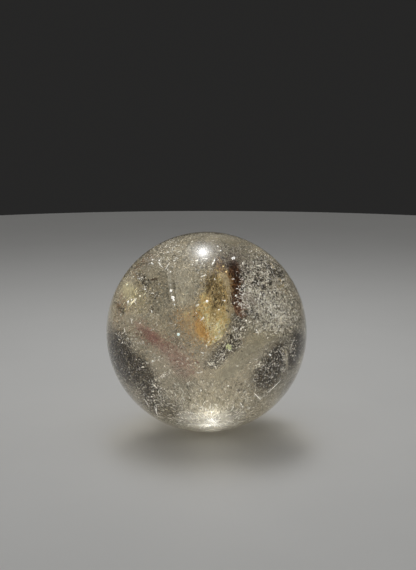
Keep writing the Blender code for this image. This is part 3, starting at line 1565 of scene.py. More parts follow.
@dataclass
class Glints:
    """Curled shreds of film strewn through the whole stone, outside its clear windows, whose faint glow
    paints glints on them.
    """

    sight: Sightline
    clearings: Clearings
    count: int = 1300
    length_mm: float = 0.8
    shrink: float = 0.6
    form: Colour = (1.0, 0.3, 0.16)
    reach: float = 0.93
    seed: int = 61
    grains: Grains = Grains(((1.0, 0.98, 0.93), (0.6, 0.57, 0.5), (0.09, 0.08, 0.06)), (0.4, 0.25, 0.35))
    # The glow of 0.1 paints a glint on the shreds.
    finish: DustFinish = DustFinish(0.3, 0.1, 0.1)

    def build(self) -> bpy.types.Object:
        """Makes the piece, with a shred shorter the nearer it lies to the outside.

        Returns:
            The piece.
        """
        rng = np.random.default_rng(self.seed)
        grit = Grit(rng, Mould.CURL)
        spots = strewn(rng, 4 * self.count, self.reach * self.sight.radius)
        patch = smooth(Mottle(62, 9.0, 2).at(spots), 0.4, 0.62)
        chance = self.clearings.left(spots) * (0.25 + 0.75 * patch)
        spots = spots[rng.random(len(spots)) < chance][: self.count]
        out = np.linalg.norm(spots, axis=1) / self.sight.radius
        length = self.length_mm * (1.0 - self.shrink * out**2)
        grit.add(spots, length, self.grains.pick(rng, len(spots)), self.form)
        return grit.build("stray_shreds", self.sight.middle, self.finish.material("stray_shreds"))


WHITE, PALE = (1.0, 0.99, 0.96), (0.9, 0.87, 0.78)
GREY, DARK = (0.42, 0.395, 0.335), (0.05, 0.042, 0.032)

# Mixes of grain colours. BRIGHT and SILVERY go only to grains that glow, where their white and pale paint
# glints. CREAMY's white and pale paint the silvery sheen of crumpled cracks.
BRIGHT = Grains((WHITE, PALE), (0.6, 0.4))
MIXED = Grains((WHITE, PALE, (0.5, 0.47, 0.4), (0.1, 0.085, 0.06)), (0.16, 0.2, 0.26, 0.38))
GILT = Grains(((1.0, 0.95, 0.74), (1.0, 0.88, 0.55)), (0.6, 0.4))
SILVERY = Grains((WHITE, PALE, (0.62, 0.58, 0.49)), (0.24, 0.4, 0.36))
CREAMY = Grains(((1.0, 0.96, 0.84), (0.57, 0.53, 0.44), (0.28, 0.255, 0.205), DARK), (0.3, 0.28, 0.18, 0.24))
SHADED = Grains((PALE, GREY, DARK), (0.12, 0.2, 0.68))
# Painted shade: dark grains for the darkness seen through the clear windows.
WINDOW_SHADE = Grains(((0.26, 0.21, 0.13), (0.06, 0.042, 0.02), (0.02, 0.014, 0.006)), (0.16, 0.38, 0.46))
GAP = Grains((DARK, (0.16, 0.14, 0.11)), (0.8, 0.2))
GILDED = Grains(((0.74, 0.59, 0.31), (0.5, 0.4, 0.2), (0.95, 0.82, 0.52)), (0.5, 0.3, 0.2))
RUSTY = Grains(((0.37, 0.23, 0.14), (0.2, 0.12, 0.07), (0.55, 0.43, 0.3)), (0.45, 0.3, 0.25))
UMBER, OLIVE = Grains(((0.08, 0.04, 0.02),), (1.0,)), Grains(((0.54, 0.56, 0.34),), (1.0,))
SMOOTH_GREY = Grains(((0.42, 0.375, 0.32), (0.48, 0.43, 0.37)), (0.5, 0.5))

# Forms of grain: how long, wide and thick, in shares of the size.
SHRED, CHIP, FIBRE = (1.0, 0.22, 0.14), (1.7, 0.6, 0.3), (2.6, 0.7, 0.3)
CRUMPLED, PLATE = (1.8, 0.6, 0.25), (1.8, 0.6, 0.3)
SCALE, SLIVER, GRAIN = (1.6, 0.7, 0.3), (1.8, 0.7, 0.3), (1.0, 1.0, 0.3)

DARK_FIN = (
    Cluster(
        Region(((225, 262), (234, 260), (243, 269)), 8.5, -18.0, -13.0, 0.9, 0.05),
        2800, 0.2, Grains(((0.06, 0.045, 0.045), (0.18, 0.15, 0.13), (0.42, 0.37, 0.32)), (0.36, 0.3, 0.34)),
    ),
    Cluster(
        Region(((234, 267), (237.5, 279), (238, 292), (237, 300)), 4.0, -18.0, -13.0, 0.9, 0.04),
        3800, 0.2,
        Grains(((0.08, 0.035, 0.018), (0.025, 0.016, 0.013), (0.26, 0.13, 0.055)), (0.45, 0.37, 0.18)),
        FIBRE, drawn=(0.1, 0.0, -1.0),
    ),
    Cluster(
        Region(((238, 298), (240, 303), (241, 310)), 4.6, -18.0, -13.0, 0.9, 0.05),
        1500, 0.2, Grains(((0.27, 0.13, 0.075), (0.1, 0.045, 0.03), (0.45, 0.3, 0.2)), (0.45, 0.3, 0.25)),
        FIBRE, drawn=(0.4, 0.0, -1.0),
    ),
    Cluster(
        Region(((227, 272), (231.5, 279), (232.5, 290)), 1.6, -18.5, -14.0, 0.7),
        380, 0.15, Grains(((0.45, 0.28, 0.12), (0.27, 0.165, 0.08)), (0.6, 0.4)),
        FIBRE, drawn=(0.2, 0.0, -1.0),
    ),
)

FOIL_GAPS = (
    ((259.0, 279.0), 2.6), ((255.5, 283.5), 2.4), ((262.0, 286.0), 2.2), ((262.5, 293.5), 1.5),
    ((252.0, 313.5), 2.2), ((257.0, 315.5), 1.8), ((247.5, 311.5), 1.6), ((273.0, 273.0), 3.0),
    ((281.0, 274.5), 2.2), ((268.0, 267.5), 2.0), ((243.5, 288.5), 1.8), ((271.0, 283.0), 1.5),
)

# The foil's grains are its crumpled cracks; their white and pale, turned towards the lamps, paint its silvery
# sheen.
SILVER_FOIL = (
    Cluster(
        Region(((258, 284), (265, 298), (274, 313)), 19.0, -18.0, -6.0, 0.5),
        5600, 0.36, CREAMY, CRUMPLED, 0.3,
    ),
    Cluster(
        Region(((250, 298), (262, 303), (270, 313)), 11.0, -19.0, -9.0, 0.7),
        2400, 0.32, Grains((WHITE, PALE, (0.62, 0.59, 0.5), DARK), (0.2, 0.38, 0.28, 0.14)), CRUMPLED, 0.4,
    ),
    Cluster(Region(((264, 262), (281, 272)), 7.5, -16.0, -4.0, 0.8), 2400, 0.24, SHADED, SCALE),
    Cluster(Region(((288, 288), (292, 305), (290, 322)), 7.0, -12.0, -2.0, 0.9), 900, 0.22, SHADED, SCALE),
    *(
        Cluster(Region((pixel,), reach, -20.5, -17.5, 0.6, 0.5), round(15 * reach**2), 0.28, GAP, CRUMPLED)
        for pixel, reach in FOIL_GAPS
    ),
    Cluster(Region(((247, 297), (252, 301)), 4.0, -20.0, -17.0, 0.6), 700, 0.22, SMOOTH_GREY),
)

# Painted shade: the shaded grains in the middle clear window stand for the darkness seen through it.
DARK_PATCHES = (
    Cluster(
        Region(((240, 318), (236, 342), (228, 348), (221, 355), (213, 363)), 6.0, -14.0, 2.0, 0.7),
        2600, 0.3, SHADED, PLATE,
    ),
    Cluster(
        Region(((141, 278), (147, 284)), 3.4, -18.0, -14.0, 0.8),
        170, 0.24, SHADED, FIBRE, drawn=(0.5, 0.0, -1.0),
    ),
    *clusters(GRAIN, (
        (((144, 289), (151, 295), (155, 296)), (2.4, -18.0, -14.0, 0.7, 0.3), 110, 0.22, SHADED),
        (((152, 280), (156, 279)), (1.0, -18.0, -16.0), 60, 0.2, UMBER),
        (((152, 309), (156, 311)), (3.0, -17.0, -12.0, 0.9), 140, 0.22, SHADED),
    )),
    Cluster(Region(((116, 301), (122, 312)), 2.4, -12.0, -6.0, 0.9), 90, 0.24, SHADED, FIBRE),
    # Painted shade: dark grains in the clear windows, for the darkness seen through them.
    *clusters(GRAIN, (
        (((117, 340), (123, 356), (135, 370)), (11.5, -10.0, 6.0, 0.5), 3000, 0.24, WINDOW_SHADE),
        (((279, 352), (272, 367), (264, 380)), (13.0, -10.0, 6.0, 0.4), 2800, 0.24, WINDOW_SHADE),
        (((296, 334), (296, 350), (291, 364)), (6.0, -8.0, 6.0, 0.6), 800, 0.22, WINDOW_SHADE),
        (((140, 362), (152, 384), (152, 408)), (7.0, -12.0, 4.0, 0.7), 1700, 0.24, WINDOW_SHADE),
        (((150, 394), (164, 404), (180, 410)), (7.0, -12.0, 2.0, 0.8), 1100, 0.24, WINDOW_SHADE),
    )),
)

# Painted glints: curled shreds whose finish glows, bright and silvery ones on the foil and gilt ones on the
# plume.
SHREDS = (
    *(
        Cluster(Region((pixel,), reach + 1.5, -22.5, -21.0), round(4 * reach), 0.5, BRIGHT, SHRED, 0.4)
        for pixel, reach in FOIL_GAPS
    ),
    *clusters(SHRED, (
        (((258, 284), (265, 298), (276, 314)), (20.0, -22.0, -12.0, 0.4), 1100, 0.6, SILVERY, 0.4),
        (((250, 297), (262, 301), (272, 314)), (12.0, -22.0, -16.0, 0.7), 260, 0.6, BRIGHT, 0.4),
        (((244, 278), (247, 290), (246, 306)), (3.0, -22.0, -14.0), 70, 0.7, BRIGHT, 0.4),
        (((235, 300), (244, 310)), (4.0, -22.0, -18.0), 30, 0.55, BRIGHT, 0.4),
        (((240, 318), (236, 342), (228, 348), (213, 363)), (7.0, -20.0, -6.0), 280, 0.6, BRIGHT, 0.4),
        (((276, 352), (268, 366), (262, 376)), (12.0, -20.0, -6.0), 400, 0.45, BRIGHT, 0.3),
        (((281.5, 349), (285, 362), (284, 369)), (1.4, -18.0, -12.0), 50, 0.55, SILVERY, 0.3),
        (((273, 362), (282, 370)), (1.2, -18.0, -12.0), 26, 0.55, SILVERY, 0.3),
        (((294, 340), (293, 358)), (3.0, -14.0, -4.0), 60, 0.5, BRIGHT, 0.3),
        (((118, 345), (132, 366), (146, 388)), (11.0, -18.0, -4.0), 380, 0.36, SILVERY, 0.2),
        (((165, 248), (172, 244), (176, 254)), (5.5, -22.0, -12.0), 56, 0.62, BRIGHT, 0.5),
        (((145, 260), (160, 258)), (4.0, -22.0, -12.0), 34, 0.62, BRIGHT, 0.5),
        (((186, 248), (192, 262), (206, 266)), (6.0, -22.0, -14.0), 40, 0.5, SILVERY, 0.5),
        (((290, 284), (298, 308), (300, 326)), (8.0, -16.0, -4.0), 440, 0.5, MIXED, 0.3),
        (((108, 322), (112, 356), (124, 384)), (6.0, -14.0, -4.0), 130, 0.36, MIXED, 0.3),
        (((118, 342), (126, 356), (138, 372)), (14.0, -18.0, -8.0), 170, 0.36, MIXED, 0.3),
        (((262, 262), (284, 274)), (8.0, -20.0, -8.0), 170, 0.5, SILVERY, 0.3),
        (((150, 330), (175, 350), (200, 372)), (16.0, -22.0, -15.0), 120, 0.42, SILVERY, 0.3),
        (((150, 396), (200, 406), (245, 404)), (13.0, -18.0, -6.0), 460, 0.55, SILVERY, 0.4),
        (((212, 321), (216, 330), (212, 337)), (7.0, -17.5, -15.5, 0.8), 150, 0.42, GILT, 0.5),
        (((210, 300), (222, 285)), (10.0, -17.5, -15.5, 0.8), 70, 0.32, GILT, 0.3),
        (((165, 380), (160, 402)), (10.0, -18.0, -4.0), 70, 0.7, SILVERY, 0.3),
        (((122, 337), (137, 342)), (5.0, -20.0, -8.0), 40, 0.6, BRIGHT, 0.6),
        (((147, 363), (163, 358)), (1.0, -20.0, -14.0), 22, 0.5, BRIGHT, 0.5),
        (((170, 372), (158, 379), (151, 384)), (2.0, -20.0, -12.0), 30, 0.6, BRIGHT, 0.5),
        (((248, 322), (262, 329), (284, 326)), (5.0, -20.0, -14.0), 100, 0.8, SILVERY, 0.5),
    )),
)

# Painted glints: specks whose finish glows, some of them in the glow near the flat.
SPECKS = (
    *clusters(CHIP, (
        (((165, 248), (172, 244), (176, 254)), (5.5, -20.0, -8.0), 12, 0.36, BRIGHT, 0.7),
        (((145, 260), (160, 258)), (4.0, -20.0, -8.0), 7, 0.36, BRIGHT, 0.7),
        (((189, 252), (196, 264)), (4.0, -20.0, -10.0), 9, 0.32, BRIGHT, 0.7),
        (((168, 258), (170, 285), (174, 308)), (2.0, -20.0, -14.0), 9, 0.3, BRIGHT, 0.7),
        (((250, 272), (262, 292), (276, 312)), (17.0, -22.0, -18.0), 80, 0.26, BRIGHT, 0.7),
        (((229, 347),), (2.2, -22.0, -21.0), 34, 0.34, OLIVE, 0.7),
    )),
    Cluster(
        Region(((128, 303), (138, 296)), 6.0, -20.0, -14.0),
        22, 0.26, GILT, FIBRE, drawn=(0.6, 0.0, 1.0),
    ),
    *clusters(CHIP, (
        (((140, 277), (146, 288), (155, 296)), (3.0, -20.0, -17.0), 16, 0.26, BRIGHT, 0.7),
        (((151, 383), (158, 389)), (2.2, -20.0, -12.0), 13, 0.36, BRIGHT, 0.7),
        (((153, 391), (153, 402)), (1.4, -20.0, -12.0), 9, 0.36, BRIGHT, 0.7),
        (((190, 425), (240, 424)), (6.0, -16.0, -2.0), 50, 0.26, BRIGHT, 0.5),
        (((150, 335), (206, 332), (262, 332)), (85.0, -22.0, -10.0, 0.1), 230, 0.3, BRIGHT, 0.7),
    )),
)


@dataclass(frozen=True)
class Side:
    """A side that the photograph doesn't show: its turn round the stone, and what grew there."""

    turn: float
    veils: tuple[Veil, ...]
    swarms: tuple[Swarm, ...]
    windows: Windows = ()

    def view(self, sight: Sightline) -> Sightline:
        """Returns the view of this side, in which its zones are given."""
        return replace(sight, turn=self.turn)

    def build(self, sight: Sightline, clearings: Clearings) -> list[bpy.types.Object]:
        """Makes what grew there.

        Args:
            sight: The photograph's view.
            clearings: The stone's clear windows.

        Returns:
            The pieces.
        """
        view = self.view(sight)
        films = [veil.build(view, clearings) for veil in self.veils]
        return films + [swarm.build(view) for swarm in self.swarms]


def rear_side(
    number: int,
    turn: float,
    tint: Colour,
    milk: tuple[Wisp, ...],
    shade_films: tuple[Wisp, ...],
    patches: tuple[Cluster, ...],
    shreds: tuple[Cluster, ...],
    windows: Windows,
) -> Side:
    """Gives what grew on one of the two rear sides its names, finishes and seeds.

    Args:
        number: 1 or 2.
        turn: The side's turn round the stone.
        tint: The milky films' colour.
        milk: The milky films.
        shade_films: The dark films, painted shade for the darkness seen through the clear windows.
        patches: The grains.
        shreds: The curled shreds.
        windows: The clear windows.

    Returns:
        The side.
    """
    return Side(
        turn,
        (
            Veil(f"rear_milk_{number}", MilkFinish(tint, 0.75, 0.12, 6.0, 1.4, DRAWN_DOWN, 0.6), milk),
            # Painted shade: the dark films in the clear windows.
            Veil(f"rear_window_shade_{number}", MilkFinish(WINDOW_SHADE_TINT, 0.92, 0.0, 5.0, 1.4, even=0.75), shade_films, True),
        ),
        (
            Swarm(f"rear_patches_{number}", Mould.FLAKE, DustFinish(0.35), 40 + number, patches),
            # The shreds' glow paints glints on them.
            Swarm(f"rear_shreds_{number}", Mould.CURL, DustFinish(0.3, 0.1, 0.12), 42 + number, shreds),
        ),
        windows,
    )


# The colour of the rear sides' dark films: painted shade for the darkness seen through their clear windows.
WINDOW_SHADE_TINT = (0.06, 0.046, 0.028)
SIDES = (
    rear_side(
        number=1,
        turn=math.radians(125),
        tint=(0.5, 0.47, 0.39),
        milk=(
            Wisp(((178, 262), (183, 310), (166, 352)), 16.0, -20.0),
            Wisp(((212, 392), (240, 372), (268, 360)), 10.0, -17.0),
        ),
        # Painted shade: dark films in the clear windows.
        shade_films=(
            Wisp(((242, 284), (264, 328), (252, 376)), 14.0, 2.0),
            Wisp(((150, 368), (192, 394)), 10.0, 2.0),
        ),
        patches=(
            # Painted shade: dark grains in the clear windows.
            Cluster(Region(((246, 292), (262, 328), (254, 368)), 12.0, -12.0, 2.0, 0.5), 2200, 0.24, WINDOW_SHADE),
            Cluster(Region(((158, 372), (186, 390)), 8.0, -12.0, 2.0, 0.5), 900, 0.24, WINDOW_SHADE),
            Cluster(
                Region(((205, 340), (226, 356)), 15.0, -19.0, -9.0, 0.6),
                3200, 0.24, CREAMY, SLIVER, 0.3,
            ),
            Cluster(
                Region(((182, 296), (178, 320)), 8.0, -17.0, -14.0, 0.9),
                1300, 0.2, GILDED, FIBRE, drawn=(0.1, 0.0, 1.0),
            ),
        ),
        shreds=clusters(SHRED, (
            (((248, 292), (262, 328), (254, 368)), (12.0, -20.0, -6.0), 260, 0.45, SILVERY, 0.3),
            (((205, 340), (226, 356)), (16.0, -22.0, -10.0), 330, 0.65, SILVERY, 0.4),
            (((158, 372), (186, 390)), (8.0, -20.0, -8.0), 110, 0.45, BRIGHT, 0.3),
            (((170, 262), (200, 274)), (8.0, -20.0, -10.0), 60, 0.6, BRIGHT, 0.5),
        )),
        windows=(
            (Region(((246, 292), (262, 328), (254, 368)), 13.0, -30.0, 4.0, 0.4), 0.96),
            (Region(((158, 372), (186, 390)), 9.0, -30.0, 4.0, 0.5), 0.95),
            (Region(((176, 270), (182, 316), (168, 350)), 15.0, -30.0, -16.0), 0.9),
            (Region(((205, 340), (226, 356)), 16.0, -30.0, -8.0), 0.8),
        ),
    ),
    rear_side(
        number=2,
        turn=math.radians(-125),
        tint=(0.54, 0.49, 0.39),
        milk=(
            Wisp(((188, 262), (224, 300), (268, 318)), 15.0, -20.0),
            Wisp(((204, 338), (210, 362), (214, 388)), 13.0, -19.0),
        ),
        # Painted shade: dark films in the clear windows.
        shade_films=(
            Wisp(((156, 288), (146, 334), (162, 374)), 14.0, 2.0),
            Wisp(((264, 366), (232, 400)), 10.0, 2.0),
        ),
        patches=(
            # Painted shade: dark grains in the clear windows.
            Cluster(Region(((152, 296), (146, 334), (160, 366)), 12.0, -12.0, 2.0, 0.5), 2200, 0.24, WINDOW_SHADE),
            Cluster(Region(((258, 372), (238, 396)), 8.0, -12.0, 2.0, 0.5), 900, 0.24, WINDOW_SHADE),
            Cluster(
                Region(((216, 286), (230, 318), (234, 346)), 4.0, -18.0, -14.0, 0.9),
                1300, 0.2, RUSTY, FIBRE, drawn=(0.3, 0.0, -1.0),
            ),
            Cluster(
                Region(((180, 300), (186, 320)), 12.0, -19.0, -9.0, 0.6),
                2000, 0.24, CREAMY, SLIVER, 0.3,
            ),
        ),
        shreds=clusters(SHRED, (
            (((152, 296), (146, 334), (160, 366)), (12.0, -20.0, -6.0), 260, 0.45, SILVERY, 0.3),
            (((180, 300), (186, 320)), (13.0, -22.0, -10.0), 260, 0.65, SILVERY, 0.4),
            (((258, 372), (238, 396)), (8.0, -20.0, -8.0), 110, 0.45, BRIGHT, 0.3),
            (((236, 268), (262, 288)), (7.0, -20.0, -10.0), 60, 0.6, BRIGHT, 0.5),
        )),
        windows=(
            (Region(((152, 296), (146, 334), (160, 366)), 13.0, -30.0, 4.0, 0.4), 0.96),
            (Region(((258, 372), (238, 396)), 9.0, -30.0, 4.0, 0.5), 0.95),
            (Region(((196, 268), (224, 300), (262, 316)), 15.0, -30.0, -16.0), 0.9),
            (Region(((206, 344), (214, 380)), 14.0, -30.0, -15.0), 0.8),
        ),
    ),
    Side(
        math.pi,
        (
            Veil(
                "back_milk",
                MilkFinish((0.5, 0.465, 0.375), 0.78, 0.08, 5.0, 1.4, DRAWN_DOWN, 0.5),
                (
                    Wisp(((164, 262), (176, 300), (170, 346)), 16.0, -20.0),
                    Wisp(((200, 290), (206, 320), (218, 352)), 15.0, -21.0),
                    Wisp(((244, 290), (236, 340), (200, 380)), 13.0, -19.0),
                ),
                True,
            ),
        ),
        (
            # The shreds' glow paints glints on them.
            Swarm(
                "back_shreds", Mould.CURL, DustFinish(0.3, 0.1, 0.12), 45,
                (
                    Cluster(
                        Region(((168, 270), (198, 318), (222, 352)), 26.0, -22.0, -13.0),
                        420, 0.55, SILVERY, SHRED, 0.4,
                    ),
                    Cluster(
                        Region(((240, 280), (228, 318), (204, 372)), 5.0, -22.0, -14.0),
                        120, 0.6, BRIGHT, SHRED, 0.5,
                    ),
                ),
            ),
        ),
    ),
)

YOLK, LIME = (1.0, 0.95, 0.75), (0.95, 0.95, 0.75)
# Bubbles, whose glow paints their glints. Those at the glow near the flat paint its core, and those beside
# the key highlight paint chips of its halo.
BEADS = tuple(
    Cluster(Region((pixel,), 0.3, -22.0, -20.0), 1, size, Grains((tint,), (1.0,)), (1.0, 1.0, 1.0))
    for pixel, size, tint in (
        ((171.0, 291.0), 0.8, WHITE), ((172.5, 297.5), 0.85, WHITE), ((173.9, 300.4), 0.7, WHITE),
        ((174.6, 304.7), 0.65, WHITE), ((178.2, 334.4), 0.65, (0.8, 1.0, 1.0)), ((207.0, 301.0), 0.6, WHITE),
        ((225.0, 300.5), 0.6, WHITE), ((236.0, 295.5), 0.5, WHITE), ((219.0, 309.5), 0.45, WHITE),
        ((152.5, 361.0), 0.5, WHITE), ((256.3, 330.2), 0.45, WHITE), ((246.0, 320.5), 0.5, WHITE),
        ((249.5, 322.5), 0.5, WHITE), ((245.5, 330.0), 0.5, WHITE), ((228.0, 386.0), 0.55, WHITE),
        ((170.5, 272.0), 0.45, WHITE), ((223.0, 266.5), 0.6, (1.0, 0.86, 0.5)),
        ((226.0, 272.0), 0.5, (1.0, 0.82, 0.45)), ((229.0, 347.0), 0.7, (0.76, 0.78, 0.55)),
        ((131.5, 299.5), 0.5, WHITE), ((128.0, 302.0), 0.6, WHITE), ((140.0, 296.5), 0.45, YOLK),
        ((211.3, 420.5), 0.9, WHITE), ((213.6, 421.4), 0.6, WHITE), ((209.2, 420.2), 0.6, WHITE),
        ((212.0, 418.6), 0.5, WHITE), ((215.4, 422.3), 0.45, WHITE), ((217.7, 246.0), 0.5, WHITE),
        ((220.8, 250.6), 0.5, WHITE), ((204.5, 264.5), 0.45, WHITE), ((152.5, 260.0), 0.5, WHITE),
        ((159.5, 260.5), 0.5, WHITE), ((127.0, 284.5), 0.45, LIME),
    )
)

# film_shreds, bright_specks and bubbles glow with their tint: painted glints.
SWARMS = (
    Swarm("dark_fin", Mould.FLAKE, DustFinish(0.3), 21, DARK_FIN),
    Swarm("silver_foil", Mould.FLAKE, DustFinish(0.3, 0.15), 22, SILVER_FOIL),
    Swarm("dark_patches", Mould.FLAKE, DustFinish(0.4), 23, DARK_PATCHES),
    Swarm("film_shreds", Mould.CURL, DustFinish(0.3, 0.1, 0.22), 25, SHREDS),
    Swarm("bright_specks", Mould.FLAKE, DustFinish(0.3, 0.1, 0.35), 24, SPECKS),
    Swarm("bubbles", Mould.BEAD, DustFinish(0.2, 0.1, 0.6), 26, BEADS),
)

# Needles, whose glow paints glints on them; those just below the key highlight paint streaks of its halo.
NEEDLES = (
    ((254, 393), (261, 400)), ((240, 402), (243, 408)), ((266, 394), (281, 380)), ((237, 389), (240, 393)),
    ((156.5, 405), (156.5, 414)), ((144.5, 399), (150, 408)), ((154.5, 406), (158.5, 417)),
    ((200.5, 277), (206.5, 274.5)), ((211.5, 265), (215, 259)), ((158, 262), (163, 268)),
    ((170, 262), (165, 270)), ((131, 318), (132, 324)), ((124, 327), (125, 333)),
    ((131, 305.5), (135, 298)), ((134, 303), (136.5, 298)), ((215, 257.5), (214.5, 262)),
    ((214.5, 262), (212, 265)),
)


@dataclass(frozen=True)
class Fan:
    """Strokes that spread from the glow near the flat, over the upper part of a wide ellipse.

    Their starts lie from near to far, in pixels of the ellipse's middling radius, crowded towards
    the core by a power (0.5 is even), and under is how far below the level they still lie, in
    radians. flat and slope say how wide and high the ellipse and a stroke's turn are.
    """

    strokes: int
    near: float
    far: float
    crowding: float
    under: float
    flat: Pixel = (1.6, 0.8)
    slope: Pixel = (1.2, 1.0)
    run: float = 3.2
    stray: float = 0.5
    limit: float = 97.5

    def ends(self) -> np.ndarray:
        """Works out the strokes, without those that would leave the ball's outline.

        A stroke starts at a random angle round the core and runs on, turned by a little from it.

        Returns:
            For each stroke the pixels of its two ends.
        """
        rng = np.random.default_rng(self.strokes)
        angle = math.pi + rng.uniform(-self.under, math.pi + self.under, self.strokes)
        out = self.near + (self.far - self.near) * rng.random(self.strokes) ** self.crowding
        start = np.array(GLOW_PIXEL) + out[:, None] * self._round(angle, self.flat)
        angle = angle + rng.normal(0.0, self.stray, self.strokes)
        run = self.run * rng.uniform(0.5, 1.5, self.strokes)
        ends = np.stack([start, start + run[:, None] * self._round(angle, self.slope)], axis=1)
        return ends[np.linalg.norm(ends - np.array(MIDDLE_PIXEL), axis=2).max(axis=1) < self.limit]

    def _round(self, angle: np.ndarray, half: Pixel) -> np.ndarray:
        """Returns the points at some angles on an ellipse with these half axes."""
        return np.stack([half[0] * np.cos(angle), half[1] * np.sin(angle)], axis=1)


@dataclass(frozen=True)
class Needles:
    """Straight hair-fine crystals, each given by the pixels of its two ends, whose glow paints a glint on
    them.
    """

    name: str
    ends: tuple[tuple[Pixel, Pixel], ...] | np.ndarray
    depth_mm: float = -18.0
    slant_mm: float = 3.0
    thick_mm: float = 0.2
    grains: Grains = Grains((WHITE,), (1.0,))
    glow: float = 0.55
    seed: int = 27

    def build(self, sight: Sightline) -> bpy.types.Object:
        """Makes the needles as thin spindles that run a little deeper towards their second ends.

        Args:
            sight: The photograph's view.

        Returns:
            The piece.
        """
        ends = np.array(self.ends, float)
        count = len(ends)
        start = sight.inside(ends[:, 0], np.full(count, self.depth_mm))
        end = sight.inside(ends[:, 1], np.full(count, self.depth_mm + self.slant_mm))
        length = np.linalg.norm(end - start, axis=1) / MM
        form = np.stack([np.ones(count), self.thick_mm / length, self.thick_mm / length], axis=1)
        grit = Grit(np.random.default_rng(self.seed), Mould.BEAD)
        tints = self.grains.pick(grit.rng, count)
        grit.add((start + end) / 2, length, tints, form, end - start, vary=0.0)
        return grit.build(self.name, sight.middle, DustFinish(0.2, 0.1, self.glow).material(self.name))


# Painted light: bottom_fan's bright glowing strokes stand for the rays of the key lamp's light focused near
# the flat. wide_fan's mixed strokes spread from the same core, partly streaks in the stone and partly those
# rays, with a faint painted glint.
STROKES = (
    Needles("needles", NEEDLES),
    Needles("bottom_fan", Fan(240, 0.0, 22.0, 1.1, math.pi / 2).ends(), -20.0, 1.0, 0.12, BRIGHT, 0.45),
    Needles("wide_fan", Fan(760, 10.0, 50.0, 0.5, 0.3).ends(), -19.0, 1.0, 0.18, MIXED, 0.06),
)


@dataclass(frozen=True)
class Lamp:
    """A soft lamp: its power, its size, and either the pixel where the ball mirrors it or its direction."""

    name: str
    power: float
    size: float
    pixel: Pixel | None = None
    way: Colour = (0.0, 0.0, 1.0)
    away: float = 0.5
    cone: float = math.radians(75)
    colour: Colour = (1.0, 1.0, 1.0)

    def build(self, sight: Sightline) -> bpy.types.Object:
        """Makes the lamp, which faces the ball's middle.

        A ball squeezes a mirrored lamp towards its rim by the square of the cosine of the angle
        between the surface and the view. A lamp with a pixel is longer that way, so it shows round.

        Args:
            sight: The photograph's view.

        Returns:
            The lamp.
        """
        toward = -sight.ahead if self.pixel else np.array([0.0, 0.0, 1.0])
        out = sight.mirrored(self.pixel) if self.pixel else unit(np.array(self.way))
        upward = unit(toward - (toward @ out) * out)
        squeeze = (unit(out + toward) @ toward) ** 2 if self.pixel else 1.0
        data = bpy.data.lights.new(self.name, "AREA")
        data.shape = "ELLIPSE"
        data.size = self.size
        data.size_y = self.size / squeeze
        data.energy = self.power
        data.spread = self.cone
        data.color = self.colour
        made = bpy.data.objects.new(self.name, data)
        made.location = sight.middle + self.away * out
        axes = np.stack([np.cross(upward, out), upward, out], axis=1)
        made.rotation_euler = Matrix(axes.tolist()).to_euler()
        bpy.context.scene.collection.objects.link(made)
        return made


# The lamps whose mirror images make the soft highlight, with their power and size, and how far the
# nearest is from the ball's middle, in centimetres. Each next one is a centimetre behind.
KEY_GLINTS = (
    (0.0055, 0.033), (0.009, 0.055), (0.0115, 0.072), (0.017, 0.1025),
    (0.0224, 0.133), (0.035, 0.2), (0.034, 0.29),
)
NEAREST_GLINT_CM = 45


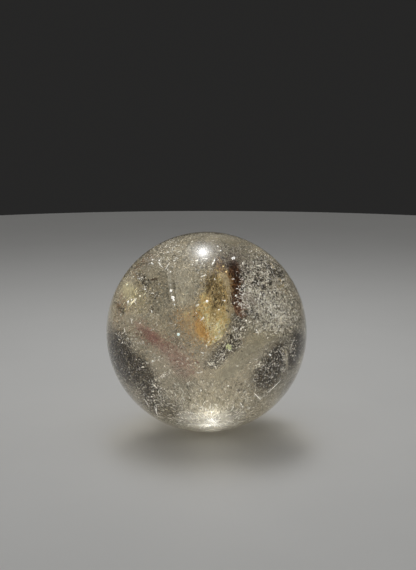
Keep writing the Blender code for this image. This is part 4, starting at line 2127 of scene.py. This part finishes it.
@dataclass(frozen=True)
class Studio:
    """The pale floor and the soft light round the stone.

    The outer lamps light the floor and the ball. The inner ones stand for the light that goes round
    inside the milky stone: they reach only what is in it, and nothing in it shades them.
    """

    outer: tuple[Lamp, ...] = (
        Lamp("key_lamp", 0.15, 0.1, KEY_PIXEL),
        Lamp("floor_light", 0.12, 0.5, None, (0.0, 0.3, 0.95)),
    )
    glints: tuple[Lamp, ...] = (
        *(
            Lamp(f"key_glint_{number + 1}", power, size, GLINT_PIXEL, away=(NEAREST_GLINT_CM + number) / 100)
            for number, (power, size) in enumerate(KEY_GLINTS)
        ),
        Lamp("second_glint", 0.0045, 0.022, (232.9, 259.3)),
    )
    inner: tuple[Lamp, ...] = (
        Lamp("inner_key", 0.20, 0.12, KEY_PIXEL),
        Lamp("inner_front", 0.11, 0.3, None, (-0.2, -0.95, 0.25)),
        Lamp("inner_left", 0.07, 0.3, None, (-1.0, 0.1, 0.1)),
        Lamp("inner_right", 0.06, 0.3, None, (1.0, 0.1, 0.1)),
        Lamp("inner_back", 0.11, 0.3, None, (0.1, 1.0, 0.2)),
        Lamp("inner_floor", 0.08, 0.3, None, (0.0, -0.3, -1.0)),
        Lamp(
            "inner_focus", 0.0008, 0.003,
            way=(0.06, -0.59, -0.8), away=0.0266, cone=math.radians(170), colour=(0.95, 0.98, 1.0),
        ),
    )
    room: float = 0.02
    ambient: float = 0.25
    ambient_colour: Colour = (1.0, 0.99, 0.97)
    floor_radius: float = 0.45
    floor_corners: int = 160
    floor_tones: tuple[Colour, Colour] = ((0.60, 0.60, 0.59), (0.64, 0.64, 0.63))

    def build(self, sight: Sightline, ball: bpy.types.Object, growths: list[bpy.types.Object]) -> None:
        """Makes the floor, the lamps and the faint light from all round.

        Args:
            sight: The photograph's view.
            ball: The stone's polished outside.
            growths: All that is in it.
        """
        inside = bpy.data.collections.new("inside")
        around = bpy.data.collections.new("around")
        for growth in growths:
            inside.objects.link(growth)
        around.objects.link(ball)
        self._floor()
        for lamp in self.outer:
            lamp.build(sight).visible_glossy = False
        for lamp in self.glints:
            lamp.build(sight).light_linking.receiver_collection = around
        for lamp in self.inner:
            made = lamp.build(sight)
            made.light_linking.receiver_collection = inside
            made.light_linking.blocker_collection = around
            made.visible_camera = made.visible_glossy = made.visible_transmission = False
        self._surround()

    def _surround(self) -> None:
        """Makes the light from all round, which matt surfaces take in and the dark room doesn't show."""
        world = bpy.data.worlds.new("surround")
        tree = ShaderTree(world, "Background")
        bounces = tree.node("ShaderNodeLightPath", {}, {}, "Diffuse Depth")
        span = {"Value": bounces, "From Max": 1.0, "To Min": self.room, "To Max": self.ambient}
        tree.fill(Color=(*self.ambient_colour, 1.0), Strength=tree.node("ShaderNodeMapRange", {}, span))
        world.cycles.sampling_method = "NONE"
        bpy.context.scene.world = world

    def _floor(self) -> None:
        """Makes the floor, a pale round top with a fine matt grain."""
        turn = np.linspace(0.0, math.tau, self.floor_corners, endpoint=False)
        rim = self.floor_radius * np.stack([np.cos(turn), np.sin(turn), 0.0 * turn], axis=1)
        tree = ShaderTree.of_material("pale_floor")
        colour = tree.mix(tree.noise(40.0), *((*tone, 1.0) for tone in self.floor_tones))
        tree.fill(Base_Color=colour, Roughness=0.6)
        mesh = bpy.data.meshes.new("floor")
        mesh.from_pydata(rim.tolist(), [], [tuple(range(len(rim)))])
        mesh.materials.append(tree.owner)
        floor = bpy.data.objects.new("floor", mesh)
        bpy.context.scene.collection.objects.link(floor)


def main() -> None:
    """Builds the view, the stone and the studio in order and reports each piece."""
    logging.basicConfig(level=logging.INFO, format="%(message)s")
    low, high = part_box(STONE)
    radius = (high.x - low.x) / 2
    middle_height = high.z - radius
    sight = Sightline(np.array([0.0, 0.0, middle_height]), radius)
    sight.camera()
    rear = tuple((side.view(sight), side.windows) for side in SIDES if side.windows)
    clearings = Clearings(((sight, FRONT_WINDOWS), *rear))
    ball = PolishedBall(radius, math.sqrt(radius**2 - middle_height**2), middle_height).build()
    growths = [*Haze(sight, clearings).build(), CrossingVeils(sight, clearings).build()]
    growths += [veil.build(sight, clearings) for veil in VEILS]
    growths += [piece for side in SIDES for piece in side.build(sight, clearings)]
    growths.append(Plume(sight).build())
    growths += [group.build(sight) for group in (*SWARMS, *STROKES)]
    growths.append(Glints(sight, clearings).build())
    for piece in (ball, *growths):
        logging.info("%s: %d faces", piece.name, len(piece.data.polygons))
    Studio().build(sight, ball, growths)
    bpy.context.scene.view_settings.view_transform = "Standard"
    bpy.context.scene.cycles.transparent_max_bounces = 64


if __name__ == "__main__":
    main()
